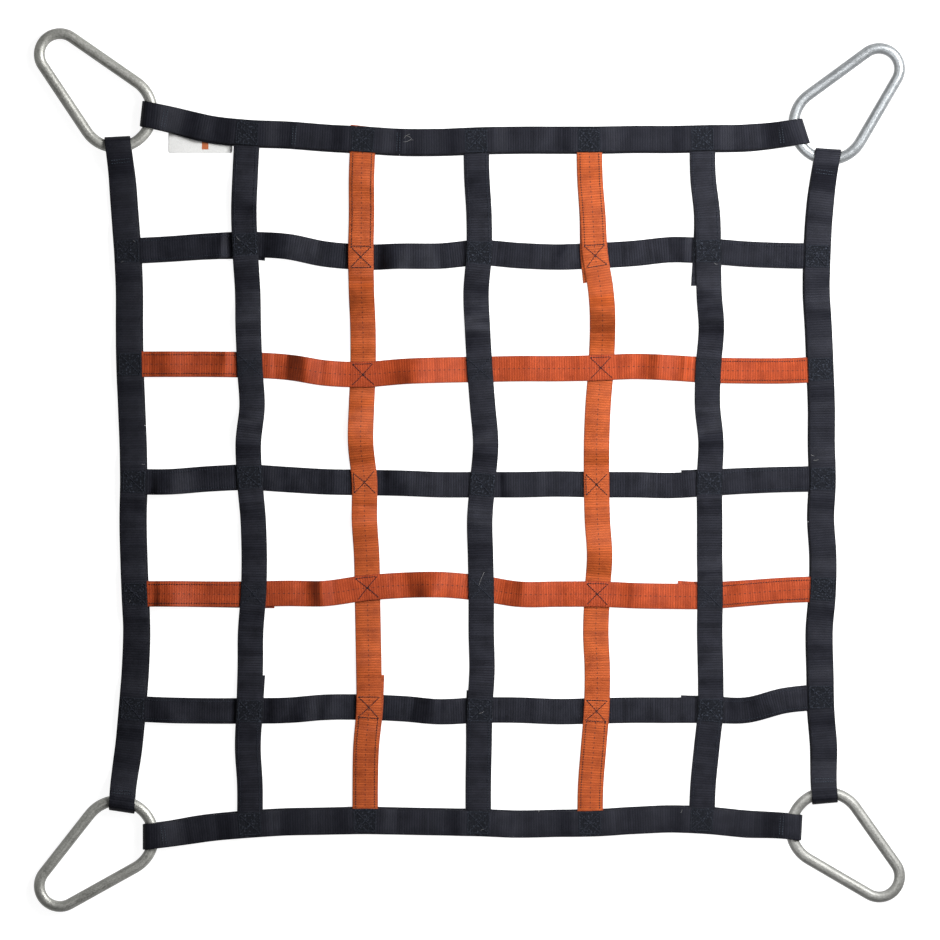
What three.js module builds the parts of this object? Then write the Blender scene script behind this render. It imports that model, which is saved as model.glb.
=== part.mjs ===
// Cargo lifting net, laid out flat: a grid of webbing straps sewn where they cross,
// with a doubled border strap on each side and a pear-shaped lifting ring at each corner.
// Millimetres. +X to the right, +Y to the top, +Z up from the floor, origin under the middle.

import * as THREE from "three";

// Webbing and its layers
const WEB_WIDTH = 35;
const WEB_THICK = 2;
const LAYER_GAP = 0.45;
const LAYER = WEB_THICK + LAYER_GAP;
const HALF_WIDTH = WEB_WIDTH / 2;

// How a strap runs between its crossings
const CROSSING_HALF = 21;
const RAMP = 24;
const TAIL_COVER = 3;
const TAIL_BEND = 3;
const FOLD_INSET = 0.2;
const FOLD_STEPS = 6;
const STATION_STEP = 34;
const STATION_RISE = 4.5;

// Border: its front layer sits a little outwards of its back layer
const BORDER_SHIFT = 1.2;
const SHIFT_RUN = 60;
const JOINT_GAP = 2;

// Eyes of the border, round the bar of a ring
const EYE_GAP = 1.3;
const EYE_RAMP = 30;
const EYE_STEPS = 10;

// Lifting ring of round bar: a small arc at the tip, a large one at the base, straight legs
const BAR = 15;
const BAR_SIDES = 12;
const RING_TIP_RADIUS = 28;
const RING_BASE_RADIUS = 48.5;
const TIP_STEPS = 9;
const BASE_STEPS = 18;

// Tag sewn behind the top border, flat on the floor
const TAG = { left: -410, right: -323, top: 470, bottom: 432, thick: 1, corner: 2 };

// Finishes
const BLACK = { color: 0x23262e, roughness: 0.85, metalness: 0 };
const ORANGE = { color: 0xcd5a28, roughness: 0.8, metalness: 0 };
const ZINC = { color: 0xa3a5a2, roughness: 0.45, metalness: 0.9 };
const WHITE = { color: 0xf0f0ec, roughness: 0.7, metalness: 0 };

// Lines of the grid, left to right and top to bottom
const DOWN_LINES = [-462, -300, -144, 14, 174, 326, 478];
const ACROSS_LINES = [451, 294, 138, -16, -168, -326, -480];

// Columns of the strap tables:
//   at          sideways of the strap's line at each crossing
//   near, far   the same a third and two thirds of the way along each cell
//   lift        how high each cell arches
//   joint       of a border: where its two ends butt on the back, counted along the strap
//   outward     of a border: the side that faces away from the net
//   past        of a tail, first end and last: how far it ends beyond its first crossing
//   aside       of a tail: how far its end shows beside the strap
//   peek        of a tail: slack in its fold round the border

// Straps from top to bottom, sideways plus to the right
const DOWN = [
  {
    name: "border_left", finish: BLACK, outward: -1, joint: -60,
    at: [-17, -3, 0, 5, 7, 3, -12],
    near: [-11, -1, 2, 4, 9, -2],
    far: [-7, -1, 4, 5, 7, -9],
    lift: [1, 2, 1, 2, 2, 1],
  },
  {
    name: "strap_down_2", finish: BLACK, past: [37, 49], aside: [0, 3], peek: [0, 0],
    at: [-3, -5, 1, 1, 6, 0, 1],
    near: [-5.5, -2, 4, 5.5, 2, -2],
    far: [-7, -1, -1, 7, 1.5, 1],
    lift: [3, 2, 7, 8, 2, 3],
  },
  {
    name: "strap_down_3", finish: ORANGE, past: [36, 44], aside: [0, 3.5], peek: [1, 0],
    at: [-1, -4, -1, 1, 5, 7, 2],
    near: [-3, -3, -3, 1, 6, 3],
    far: [-3, -1, -4, 4, 7, 2],
    lift: [2, 7, 8, 4, 2, 4],
  },
  {
    name: "strap_down_4", finish: BLACK, past: [36, 26], aside: [0, -2], peek: [0, 0],
    at: [-5, -1, 0, 4, 2, 0, -2],
    near: [-4, -5, 4, 0, 2, -1],
    far: [-1, -3, 8, 1, 3, -2],
    lift: [4, 3, 8, 3, 2, 3],
  },
  {
    name: "strap_down_5", finish: ORANGE, past: [34, 36], aside: [-5, 0], peek: [0, 0],
    at: [-11, -3, 5, -1, 0, -1, -10],
    near: [-10, 5, 1, 0, -2, -5],
    far: [-6, 7, -1, 3, 0, -9],
    lift: [3, 9, 5, 6, 3, 5],
  },
  {
    name: "strap_down_6", finish: BLACK, past: [47, 36], aside: [-7, 0], peek: [0, 0],
    at: [-9, -1, -1, 0.5, 1.5, 2, -10],
    near: [-8, 0, -2, 1, 1, -3],
    far: [-2, 3, 2.5, 1, 2, -8],
    lift: [8, 6, 6, 2, 3, 5],
  },
  {
    name: "border_right", finish: BLACK, outward: 1, joint: 70,
    at: [13, -5, -1, 2, 2, 0, 8],
    near: [4, -6, 1, 0, -2, 4],
    far: [-2, -3, 1, 3, -1, 4],
    lift: [1, 3, 1, 1, 2, 1],
  },
];

// Straps from left to right, sideways plus to the top
const ACROSS = [
  {
    name: "border_top", finish: BLACK, outward: 1, joint: -95,
    at: [37, 7, -2, -3, -2, 0, 14],
    near: [26, 5, -5, -2, -1, 1],
    far: [13, 1, -5, -2, -1, 6],
    lift: [4, 2, 3, 2, 2, 1],
  },
  {
    name: "strap_across_2", finish: BLACK, past: [28, 36], aside: [-4, 0], peek: [0, 0],
    at: [4, 13, -4, 2, -2, 4, -3],
    near: [7, 10, -3, -2, 1, 0],
    far: [11, 0, -2.5, -4, 6, -2],
    lift: [2, 3, 8, 3, 2, 2],
  },
  {
    name: "strap_across_3", finish: ORANGE, past: [36, 36], aside: [0, 0], peek: [0, 0],
    at: [6, 5, -8, -1, 1, -2, -1],
    near: [6, 2, -4, 0, 3, -3],
    far: [6, -6, -2, 0, 1, -3],
    lift: [1, 9, 6, 2, 8, 3],
  },
  {
    name: "strap_across_4", finish: BLACK, past: [36, 37], aside: [0, 3], peek: [0, 0],
    at: [0, 6, -1, -4, -4, -2, 4],
    near: [0, 3, -2, -4, -4, 1],
    far: [4, 0, -4, -3, -5, 3],
    lift: [2, 3, 2, 4, 3, 2],
  },
  {
    name: "strap_across_5", finish: ORANGE, past: [28, 44], aside: [-2.5, 4], peek: [0, 0],
    at: [-1, -1, 7, 7, -1, -4, 6],
    near: [-0.5, 0, 11, -1, -3, 0],
    far: [-1, 0, 12, -1, -4, 4],
    lift: [2, 6, 9, 8, 3, 6],
  },
  {
    name: "strap_across_6", finish: BLACK, past: [36, 40], aside: [0, 3], peek: [0, 0],
    at: [1, -2, 3, -1, -2, -1, 17],
    near: [-1, -1, 1, -1, -1, -1],
    far: [-2, 3, -3, -3, -1, 12],
    lift: [3, 2, 6, 3, 2, 9],
  },
  {
    name: "border_bottom", finish: BLACK, outward: -1, joint: 95,
    at: [-21, -2, 3, 0, 0, 3, -10],
    near: [-15, 1, 2, -2, 3, -2],
    far: [-7, 2, 1, -1, 5, -4],
    lift: [1, 2, 2, 1, 3, 1],
  },
];

// Rings: middle of the tip's arc, the way from there to the base in degrees from +X, and how far
// the middle of the base's arc is from there
const RINGS = {
  top_left: { x: -557.5, y: 566, turn: -45.5, reach: 110 },
  top_right: { x: 557.5, y: 546, turn: -132, reach: 101 },
  bottom_left: { x: -557.5, y: -566, turn: 40.5, reach: 104 },
  bottom_right: { x: 557.5, y: -553, turn: 137.5, reach: 97 },
};

// Layer of a strap from left to right at each crossing: its tail lies under it at the first and
// last of the inner crossings, and the border's back layer and its tail lie under it at the ends
const ACROSS_LAYERS = [2, 1, 0, 0, 0, 1, 2];
const LAST = ACROSS_LAYERS.length - 1;

// Height of the middle of the webbing in a layer, counted from the floor
const layerHeight = (layer) => layer * LAYER + WEB_THICK / 2;

// Bar of a ring in its eye: the webbing's middle round it, and its height over the floor
const EYE_RADIUS = BAR / 2 + EYE_GAP + WEB_THICK / 2;
const BAR_HEIGHT = WEB_THICK + EYE_GAP + BAR / 2;

const net = new THREE.Group();

function addMesh(name, geometry, finish) {
  geometry.computeVertexNormals();
  const mesh = new THREE.Mesh(geometry, new THREE.MeshStandardMaterial(finish));
  mesh.name = name;
  net.add(mesh);
  return mesh;
}

// Closed skin over rows of points, each row one section. The two ends meet, or each is capped.
function skin(rows, endsMeet) {
  const around = rows[0].length;
  const spans = endsMeet ? rows.length : rows.length - 1;
  const faces = [];
  for (let row = 0; row < spans; row += 1) {
    const here = row * around;
    const next = ((row + 1) % rows.length) * around;
    for (let k = 0; k < around; k += 1) {
      const beside = (k + 1) % around;
      faces.push(here + k, here + beside, next + beside);
      faces.push(here + k, next + beside, next + k);
    }
  }
  if (!endsMeet) {
    const last = spans * around;
    for (let k = 1; k < around - 1; k += 1) {
      faces.push(0, k + 1, k);
      faces.push(last, last + k, last + k + 1);
    }
  }
  const geometry = new THREE.BufferGeometry().setFromPoints(rows.flat());
  geometry.setIndex(faces);
  return geometry;
}

// Smooth curve v(s) through points: cubic pieces, with the slope at a point that of its neighbours
function smoothCurve(points) {
  const end = points.length - 1;
  const slopes = points.map((point, i) => {
    const before = points[Math.max(i - 1, 0)];
    const after = points[Math.min(i + 1, end)];
    return (after.v - before.v) / (after.s - before.s);
  });
  return (s) => {
    const ahead = points.findIndex((point) => point.s > s);
    const i = THREE.MathUtils.clamp(ahead < 0 ? end - 1 : ahead - 1, 0, end - 1);
    const [a, b] = [points[i], points[i + 1]];
    const length = b.s - a.s;
    const u = THREE.MathUtils.clamp((s - a.s) / length, 0, 1);
    const bend = u * (1 - u) * length * (slopes[i] * (1 - u) - slopes[i + 1] * u);
    const beyond = (s - a.s - u * length) * slopes[u > 0 ? i + 1 : i];
    return THREE.MathUtils.lerp(a.v, b.v, THREE.MathUtils.smoothstep(u, 0, 1)) + bend + beyond;
  };
}

// Path of a strap in plan, through the columns at, near and far
function planCurve(strap, line, stops) {
  const points = [];
  stops.forEach((s, i) => {
    points.push({ s, v: line + strap.at[i] });
    if (i < LAST) {
      const cell = stops[i + 1] - s;
      points.push({ s: s + cell / 3, v: line + strap.near[i] });
      points.push({ s: s + (2 * cell) / 3, v: line + strap.far[i] });
    }
  });
  return smoothCurve(points);
}

// A strap from top to bottom is counted downwards, one from left to right along +X
const DOWN_STOPS = ACROSS_LINES.map((y) => -y);
DOWN.forEach((strap, i) => {
  strap.curve = planCurve(strap, DOWN_LINES[i], DOWN_STOPS);
  strap.toPlan = (s, v, z) => new THREE.Vector3(v, -s, z);
  strap.fromPlan = (x, y) => ({ s: -y, v: x });
});
ACROSS.forEach((strap, i) => {
  strap.curve = planCurve(strap, ACROSS_LINES[i], DOWN_LINES);
  strap.toPlan = (s, v, z) => new THREE.Vector3(s, v, z);
  strap.fromPlan = (x, y) => ({ s: x, v: y });
});

// Where two straps cross, found by stepping from one path to the other
function crossing(down, across) {
  const rounds = 6;
  let y = 0;
  let x = 0;
  for (let round = 0; round < rounds; round += 1) {
    x = down.curve(-y);
    y = across.curve(x);
  }
  return { x, y };
}

DOWN.forEach((down) => {
  down.crossings = ACROSS.map((across) => -crossing(down, across).y);
});
ACROSS.forEach((across) => {
  across.crossings = DOWN.map((down) => crossing(down, across).x);
});

function slopeAt(strap, s) {
  return (strap.curve(s + 1) - strap.curve(s - 1)) / 2;
}

// Point of a strap: s along it, w across it, z over the floor
function strapPoint(strap, s, w, z) {
  const slope = slopeAt(strap, s);
  const length = Math.hypot(1, slope);
  return strap.toPlan(s - (w * slope) / length, strap.curve(s) + w / length, z);
}

// Ribbon of webbing along a route of stations. Each has s, z, its shift aside, and a skew where
// it lies aslant
function ribbon(strap, route) {
  const rows = route.map((station, i) => {
    const before = route[Math.max(i - 1, 0)];
    const after = route[Math.min(i + 1, route.length - 1)];
    const run = new THREE.Vector2(after.s - before.s, after.z - before.z).normalize();
    const face = run.multiplyScalar(WEB_THICK / 2);
    const corner = (side, up) => {
      const w = station.aside + side * HALF_WIDTH;
      return strapPoint(strap, station.s - up * face.y + station.skew * w, w, station.z + up * face.x);
    };
    return [corner(-1, -1), corner(1, -1), corner(1, 1), corner(-1, 1)];
  });
  return skin(rows, false);
}

// Stations along stops, easing from each height to the next, with aside and skew from layAt
function easedRun(stops, layAt) {
  const stations = [stops[0]];
  stops.slice(1).forEach((to, i) => {
    const from = stops[i];
    const length = Math.abs(to.s - from.s);
    const rise = Math.abs(to.z - from.z);
    const steps = Math.max(Math.ceil(length / STATION_STEP), Math.ceil(rise / STATION_RISE));
    for (let step = 1; step <= steps; step += 1) {
      const u = step / steps;
      const z = THREE.MathUtils.lerp(from.z, to.z, THREE.MathUtils.smoothstep(u, 0, 1));
      stations.push({ s: THREE.MathUtils.lerp(from.s, to.s, u), z });
    }
  });
  return stations.map((station) => ({ ...station, ...layAt(station.s) }));
}

// Half turn of the webbing from a lower layer to an upper one, without its two ends
function halfTurn(centre, z, radius, skew, way, steps) {
  const reach = radius * Math.hypot(1, skew);
  const stations = [];
  for (let step = 1; step < steps; step += 1) {
    const angle = (Math.PI * step) / steps;
    const s = centre - way * reach * Math.sin(angle);
    stations.push({ s, z: z - radius * Math.cos(angle), aside: 0, skew });
  }
  return stations;
}

// Stops over the free stretch of a cell, which arches by its lift
function cellStops(from, to, layer, lift) {
  const z = layerHeight(layer);
  return [
    { s: from, z: z + lift / 2 },
    { s: (from + to) / 2, z: z + lift },
    { s: to, z: z + lift / 2 },
  ];
}

// One inner strap: tail, fold round the border, main run, fold and tail again
function innerStrap(strap, borders, layers, tailLayer) {
  const { crossings, past, lift } = strap;
  const foot = CROSSING_HALF + RAMP;

  // Middle of each fold: just inside the outer edge of the border's back layer, where that edge
  // stands out most
  const folds = [0, LAST].map((i, end) => {
    const across = borders[end].fromPlan(...strap.toPlan(crossings[i], strap.curve(crossings[i]), 0));
    const skew = Math.abs(slopeAt(borders[end], across.s)) + Math.abs(slopeAt(strap, crossings[i]));
    const reach = HALF_WIDTH * (1 + skew) - BORDER_SHIFT - FOLD_INSET + strap.peek[end];
    return crossings[i] + (end === 0 ? -reach : reach);
  });

  const tail = [0, 1].map((end) => {
    const way = end === 0 ? 1 : -1;
    const [outer, first, cell] = end === 0 ? [0, 1, 0] : [LAST, LAST - 1, LAST - 1];
    const tip = crossings[first] + way * past[end];
    const from = crossings[outer] + way * foot;
    const to = crossings[first] - way * foot;
    const stops = [
      { s: folds[end], z: layerHeight(0) },
      { s: crossings[outer] + way * CROSSING_HALF, z: layerHeight(0) },
      ...cellStops(from, to, 0, lift[cell]),
      { s: crossings[first] - way * CROSSING_HALF, z: layerHeight(tailLayer) },
      { s: tip, z: layerHeight(tailLayer) },
    ];
    return easedRun(stops, (s) => {
      const along = (s - folds[end]) / (tip - folds[end]);
      return { aside: strap.aside[end] * along ** TAIL_BEND, skew: 0 };
    });
  });

  const mainStops = [];
  crossings.forEach((s, i) => {
    const z = layerHeight(layers[i]);
    const starts = { [0]: folds[0], [LAST - 1]: s - past[1] - TAIL_COVER };
    const ends = { [1]: s + past[0] + TAIL_COVER, [LAST]: folds[1] };
    const start = starts[i] ?? s - CROSSING_HALF;
    const end = ends[i] ?? s + CROSSING_HALF;
    mainStops.push({ s: start, z, end });
  });
  const route = [];
  mainStops.forEach((stop, i) => {
    route.push({ s: stop.s, z: stop.z }, { s: stop.end, z: stop.z });
    if (i < LAST) {
      const overTail = i === 0 || i === LAST - 1;
      const next = mainStops[i + 1].s;
      route.push(...cellStops(stop.end + RAMP, next - RAMP, overTail ? 1 : 0, lift[i]));
    }
  });

  const turn = (end, way) => halfTurn(folds[end], layerHeight(1), LAYER, 0, way, FOLD_STEPS);
  return ribbon(strap, [
    ...tail[0].reverse(),
    ...turn(0, 1),
    ...easedRun(route, () => ({ aside: 0, skew: 0 })),
    ...turn(1, -1).reverse(),
    ...tail[1],
  ]);
}

// Middle of the large arc at a ring's base, in plan
function ringBase(ring) {
  const turn = THREE.MathUtils.degToRad(ring.turn);
  return { x: ring.x + ring.reach * Math.cos(turn), y: ring.y + ring.reach * Math.sin(turn) };
}

// Bar of a ring where it lies in a border's eye, counted along the strap: near = where the eye may
// close in on the bar towards the net, far = the bar's middle where it is furthest from the net,
// skew = how far the bar lies aslant of the strap
function barInEye(strap, ring, way) {
  const base = ringBase(ring);
  const centre = strap.fromPlan(base.x, base.y);
  const edgeAt = (radius, w) => {
    const s = centre.s + way * radius;
    const offset = strap.curve(s) + w - centre.v;
    return way * centre.s + Math.sqrt(radius ** 2 - offset ** 2) + way * w * slopeAt(strap, s);
  };
  const inner = RING_BASE_RADIUS - BAR / 2;
  const outer = RING_BASE_RADIUS + BAR / 2;
  const skew = (edgeAt(inner, HALF_WIDTH) - edgeAt(inner, -HALF_WIDTH)) / WEB_WIDTH;
  const halfBar = (BAR / 2) * Math.hypot(1, skew);
  const widths = [-HALF_WIDTH, 0, HALF_WIDTH];
  const outerEdge = Math.max(...widths.map((w) => edgeAt(outer, w) - skew * w));
  const innerEdge = Math.min(...widths.map((w) => edgeAt(inner, w) - skew * w));
  return {
    near: way * (outerEdge - halfBar / 2),
    far: way * (innerEdge + halfBar),
    skew: way * skew,
  };
}

// One border strap: a loop laid flat, through the ring at either end, its own ends butting behind
function borderStrap(strap, rings) {
  const { crossings, lift, outward, joint } = strap;
  const eyes = [barInEye(strap, rings[0], 1), barInEye(strap, rings[1], -1)];
  const foot = CROSSING_HALF + RAMP;

  // A layer is shifted sideways between the eyes, and aslant only in them
  const layAt = (side) => (s) => {
    const clear = Math.min(s - eyes[0].near, eyes[1].near - s);
    const eye = s < joint ? eyes[0] : eyes[1];
    return {
      aside: side * outward * BORDER_SHIFT * THREE.MathUtils.smoothstep(clear, 0, SHIFT_RUN),
      skew: eye.skew * (1 - THREE.MathUtils.smoothstep(clear, 0, EYE_RAMP)),
    };
  };

  // Stops of one layer from the first eye to the last
  const layerStops = (eyeHeight, crossingLayer, cellLayer) => {
    const stops = [{ s: eyes[0].far, z: eyeHeight }, { s: eyes[0].near, z: eyeHeight }];
    for (let i = 0; i < LAST; i += 1) {
      const from = i === 0 ? eyes[0].near + EYE_RAMP : crossings[i] + foot;
      const to = i === LAST - 1 ? eyes[1].near - EYE_RAMP : crossings[i + 1] - foot;
      stops.push(...cellStops(from, to, cellLayer, lift[i]));
      if (i < LAST - 1) {
        const z = layerHeight(crossingLayer);
        stops.push({ s: crossings[i + 1] - CROSSING_HALF, z });
        stops.push({ s: crossings[i + 1] + CROSSING_HALF, z });
      }
    }
    stops.push({ s: eyes[1].near, z: eyeHeight }, { s: eyes[1].far, z: eyeHeight });
    return stops;
  };
  const front = easedRun(layerStops(BAR_HEIGHT + EYE_RADIUS, 3, 1), layAt(1));
  const back = easedRun(layerStops(BAR_HEIGHT - EYE_RADIUS, 1, 0), layAt(-1));

  // The back layer is cut at the joint
  const cutAt = (s) => {
    const next = back.findIndex((station) => station.s > s);
    const [a, b] = [back[next - 1], back[next]];
    return { ...a, s, z: THREE.MathUtils.lerp(a.z, b.z, (s - a.s) / (b.s - a.s)) };
  };
  const backStart = [
    ...back.filter((station) => station.s < joint - JOINT_GAP),
    cutAt(joint - JOINT_GAP / 2),
  ];
  const backEnd = [
    cutAt(joint + JOINT_GAP / 2),
    ...back.filter((station) => station.s > joint + JOINT_GAP),
  ];

  const turn = (end, way) =>
    halfTurn(eyes[end].far, BAR_HEIGHT, EYE_RADIUS, eyes[end].skew, way, EYE_STEPS);
  return ribbon(strap, [
    ...backStart.reverse(),
    ...turn(0, 1),
    ...front,
    ...turn(1, -1).reverse(),
    ...backEnd.reverse(),
  ]);
}

// Ring of round bar lying in its own plane, the middle of its tip's arc at the origin
function ringGeometry(reach) {
  const lean = Math.asin((RING_BASE_RADIUS - RING_TIP_RADIUS) / reach);
  const start = Math.PI / 2 + lean;
  const tip = new THREE.EllipseCurve(0, 0, RING_TIP_RADIUS, RING_TIP_RADIUS, start, -start + 2 * Math.PI);
  const base = new THREE.EllipseCurve(reach, 0, RING_BASE_RADIUS, RING_BASE_RADIUS, -start, start);
  const corner = BAR / 2 / Math.cos(Math.PI / BAR_SIDES);
  const sections = [tip, base].flatMap((arc, i) => {
    const steps = i === 0 ? TIP_STEPS : BASE_STEPS;
    return arc.getPoints(steps).map((point) => {
      const outward = new THREE.Vector2(point.x - arc.aX, point.y).normalize();
      return Array.from({ length: BAR_SIDES }, (_, k) => {
        const angle = ((k + 0.5) * 2 * Math.PI) / BAR_SIDES;
        const inward = Math.cos(angle) * corner;
        return new THREE.Vector3(
          point.x - inward * outward.x,
          point.y - inward * outward.y,
          Math.sin(angle) * corner,
        );
      });
    });
  });
  return skin(sections, true);
}

// Tag: a flat label with rounded corners
function tagGeometry() {
  const { left, right, top, bottom, corner, thick } = TAG;
  const outline = new THREE.Shape();
  outline.moveTo(left + corner, bottom);
  outline.lineTo(right - corner, bottom);
  outline.absarc(right - corner, bottom + corner, corner, -Math.PI / 2, 0);
  outline.lineTo(right, top);
  outline.lineTo(left, top);
  outline.lineTo(left, bottom + corner);
  outline.absarc(left + corner, bottom + corner, corner, Math.PI, 1.5 * Math.PI);
  return new THREE.ExtrudeGeometry(outline, { depth: thick, bevelEnabled: false, curveSegments: 3 });
}

// Straps from left to right lie lowest, then those from top to bottom. Only where two orange ones
// cross, the one from left to right is on top
const liesOver = (across, down) => across.finish === ORANGE && down.finish === ORANGE;
ACROSS.slice(1, LAST).forEach((strap) => {
  const layers = ACROSS_LAYERS.map((layer, k) => layer + (liesOver(strap, DOWN[k]) ? 1 : 0));
  addMesh(strap.name, innerStrap(strap, [DOWN[0], DOWN[LAST]], layers, 0), strap.finish);
});
DOWN.slice(1, LAST).forEach((strap, i) => {
  const under = ACROSS_LAYERS[i + 1] + 1;
  const layers = ACROSS_LAYERS.map((layer, k) => {
    if (k === 0 || k === LAST) return layer;
    if (liesOver(ACROSS[k], strap)) return under - 1;
    const hasTail = k === 1 || k === LAST - 1;
    return under + (hasTail ? 1 : 0);
  });
  addMesh(strap.name, innerStrap(strap, [ACROSS[0], ACROSS[LAST]], layers, under), strap.finish);
});

// Borders, each between two rings
const { top_left, top_right, bottom_left, bottom_right } = RINGS;
addMesh("border_top", borderStrap(ACROSS[0], [top_left, top_right]), BLACK);
addMesh("border_bottom", borderStrap(ACROSS[LAST], [bottom_left, bottom_right]), BLACK);
addMesh("border_left", borderStrap(DOWN[0], [top_left, bottom_left]), BLACK);
addMesh("border_right", borderStrap(DOWN[LAST], [top_right, bottom_right]), BLACK);

addMesh("tag", tagGeometry(), WHITE);

// Each ring leans a little, its tip on the floor and its bar in the eyes
Object.entries(RINGS).forEach(([corner, ring]) => {
  const eyePlace = ring.reach + RING_BASE_RADIUS * Math.SQRT1_2;
  const tilt = Math.atan((BAR_HEIGHT - BAR / 2) / (eyePlace + RING_TIP_RADIUS));
  const lift = (RING_TIP_RADIUS + BAR / 2) * Math.tan(tilt);
  const mesh = addMesh(`ring_${corner}`, ringGeometry(ring.reach), ZINC);
  mesh.position.set(ring.x, ring.y, BAR / 2 + lift);
  mesh.rotation.set(0, -tilt, THREE.MathUtils.degToRad(ring.turn), "ZYX");
});

export default net;
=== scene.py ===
import bpy
import numpy as np
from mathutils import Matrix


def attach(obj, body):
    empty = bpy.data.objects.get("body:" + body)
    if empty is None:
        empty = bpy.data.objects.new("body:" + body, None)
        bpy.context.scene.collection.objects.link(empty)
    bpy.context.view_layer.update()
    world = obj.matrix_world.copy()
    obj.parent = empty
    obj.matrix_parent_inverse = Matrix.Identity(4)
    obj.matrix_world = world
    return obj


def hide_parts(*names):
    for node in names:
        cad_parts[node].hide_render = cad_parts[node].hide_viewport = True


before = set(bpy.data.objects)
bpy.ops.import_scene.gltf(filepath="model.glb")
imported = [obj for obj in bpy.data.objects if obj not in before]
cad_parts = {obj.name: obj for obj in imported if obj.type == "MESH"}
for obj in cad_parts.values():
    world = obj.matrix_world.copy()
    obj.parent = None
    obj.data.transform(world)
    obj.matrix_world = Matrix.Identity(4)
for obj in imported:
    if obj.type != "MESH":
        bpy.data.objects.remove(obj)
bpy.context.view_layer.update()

# Straps from side to side: five lengths of ribbed polyester webbing, black and orange by turns,
# the lowest layer of the net but where orange crosses orange. Each goes round the back of the
# border at either end and comes back under itself to just past its first crossing, sewn down there.
MM = 0.001
WEB_WIDTH, WEB_THICK, LAYER_GAP = 35.0, 2.0, 0.45
LAYER = WEB_THICK + LAYER_GAP
HALF_WIDTH = WEB_WIDTH / 2
DOWN_LINES = [-462, -300, -144, 14, 174, 326, 478]
ACROSS_LINES = [451, 294, 138, -16, -168, -326, -480]
LAST = len(DOWN_LINES) - 1

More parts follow.
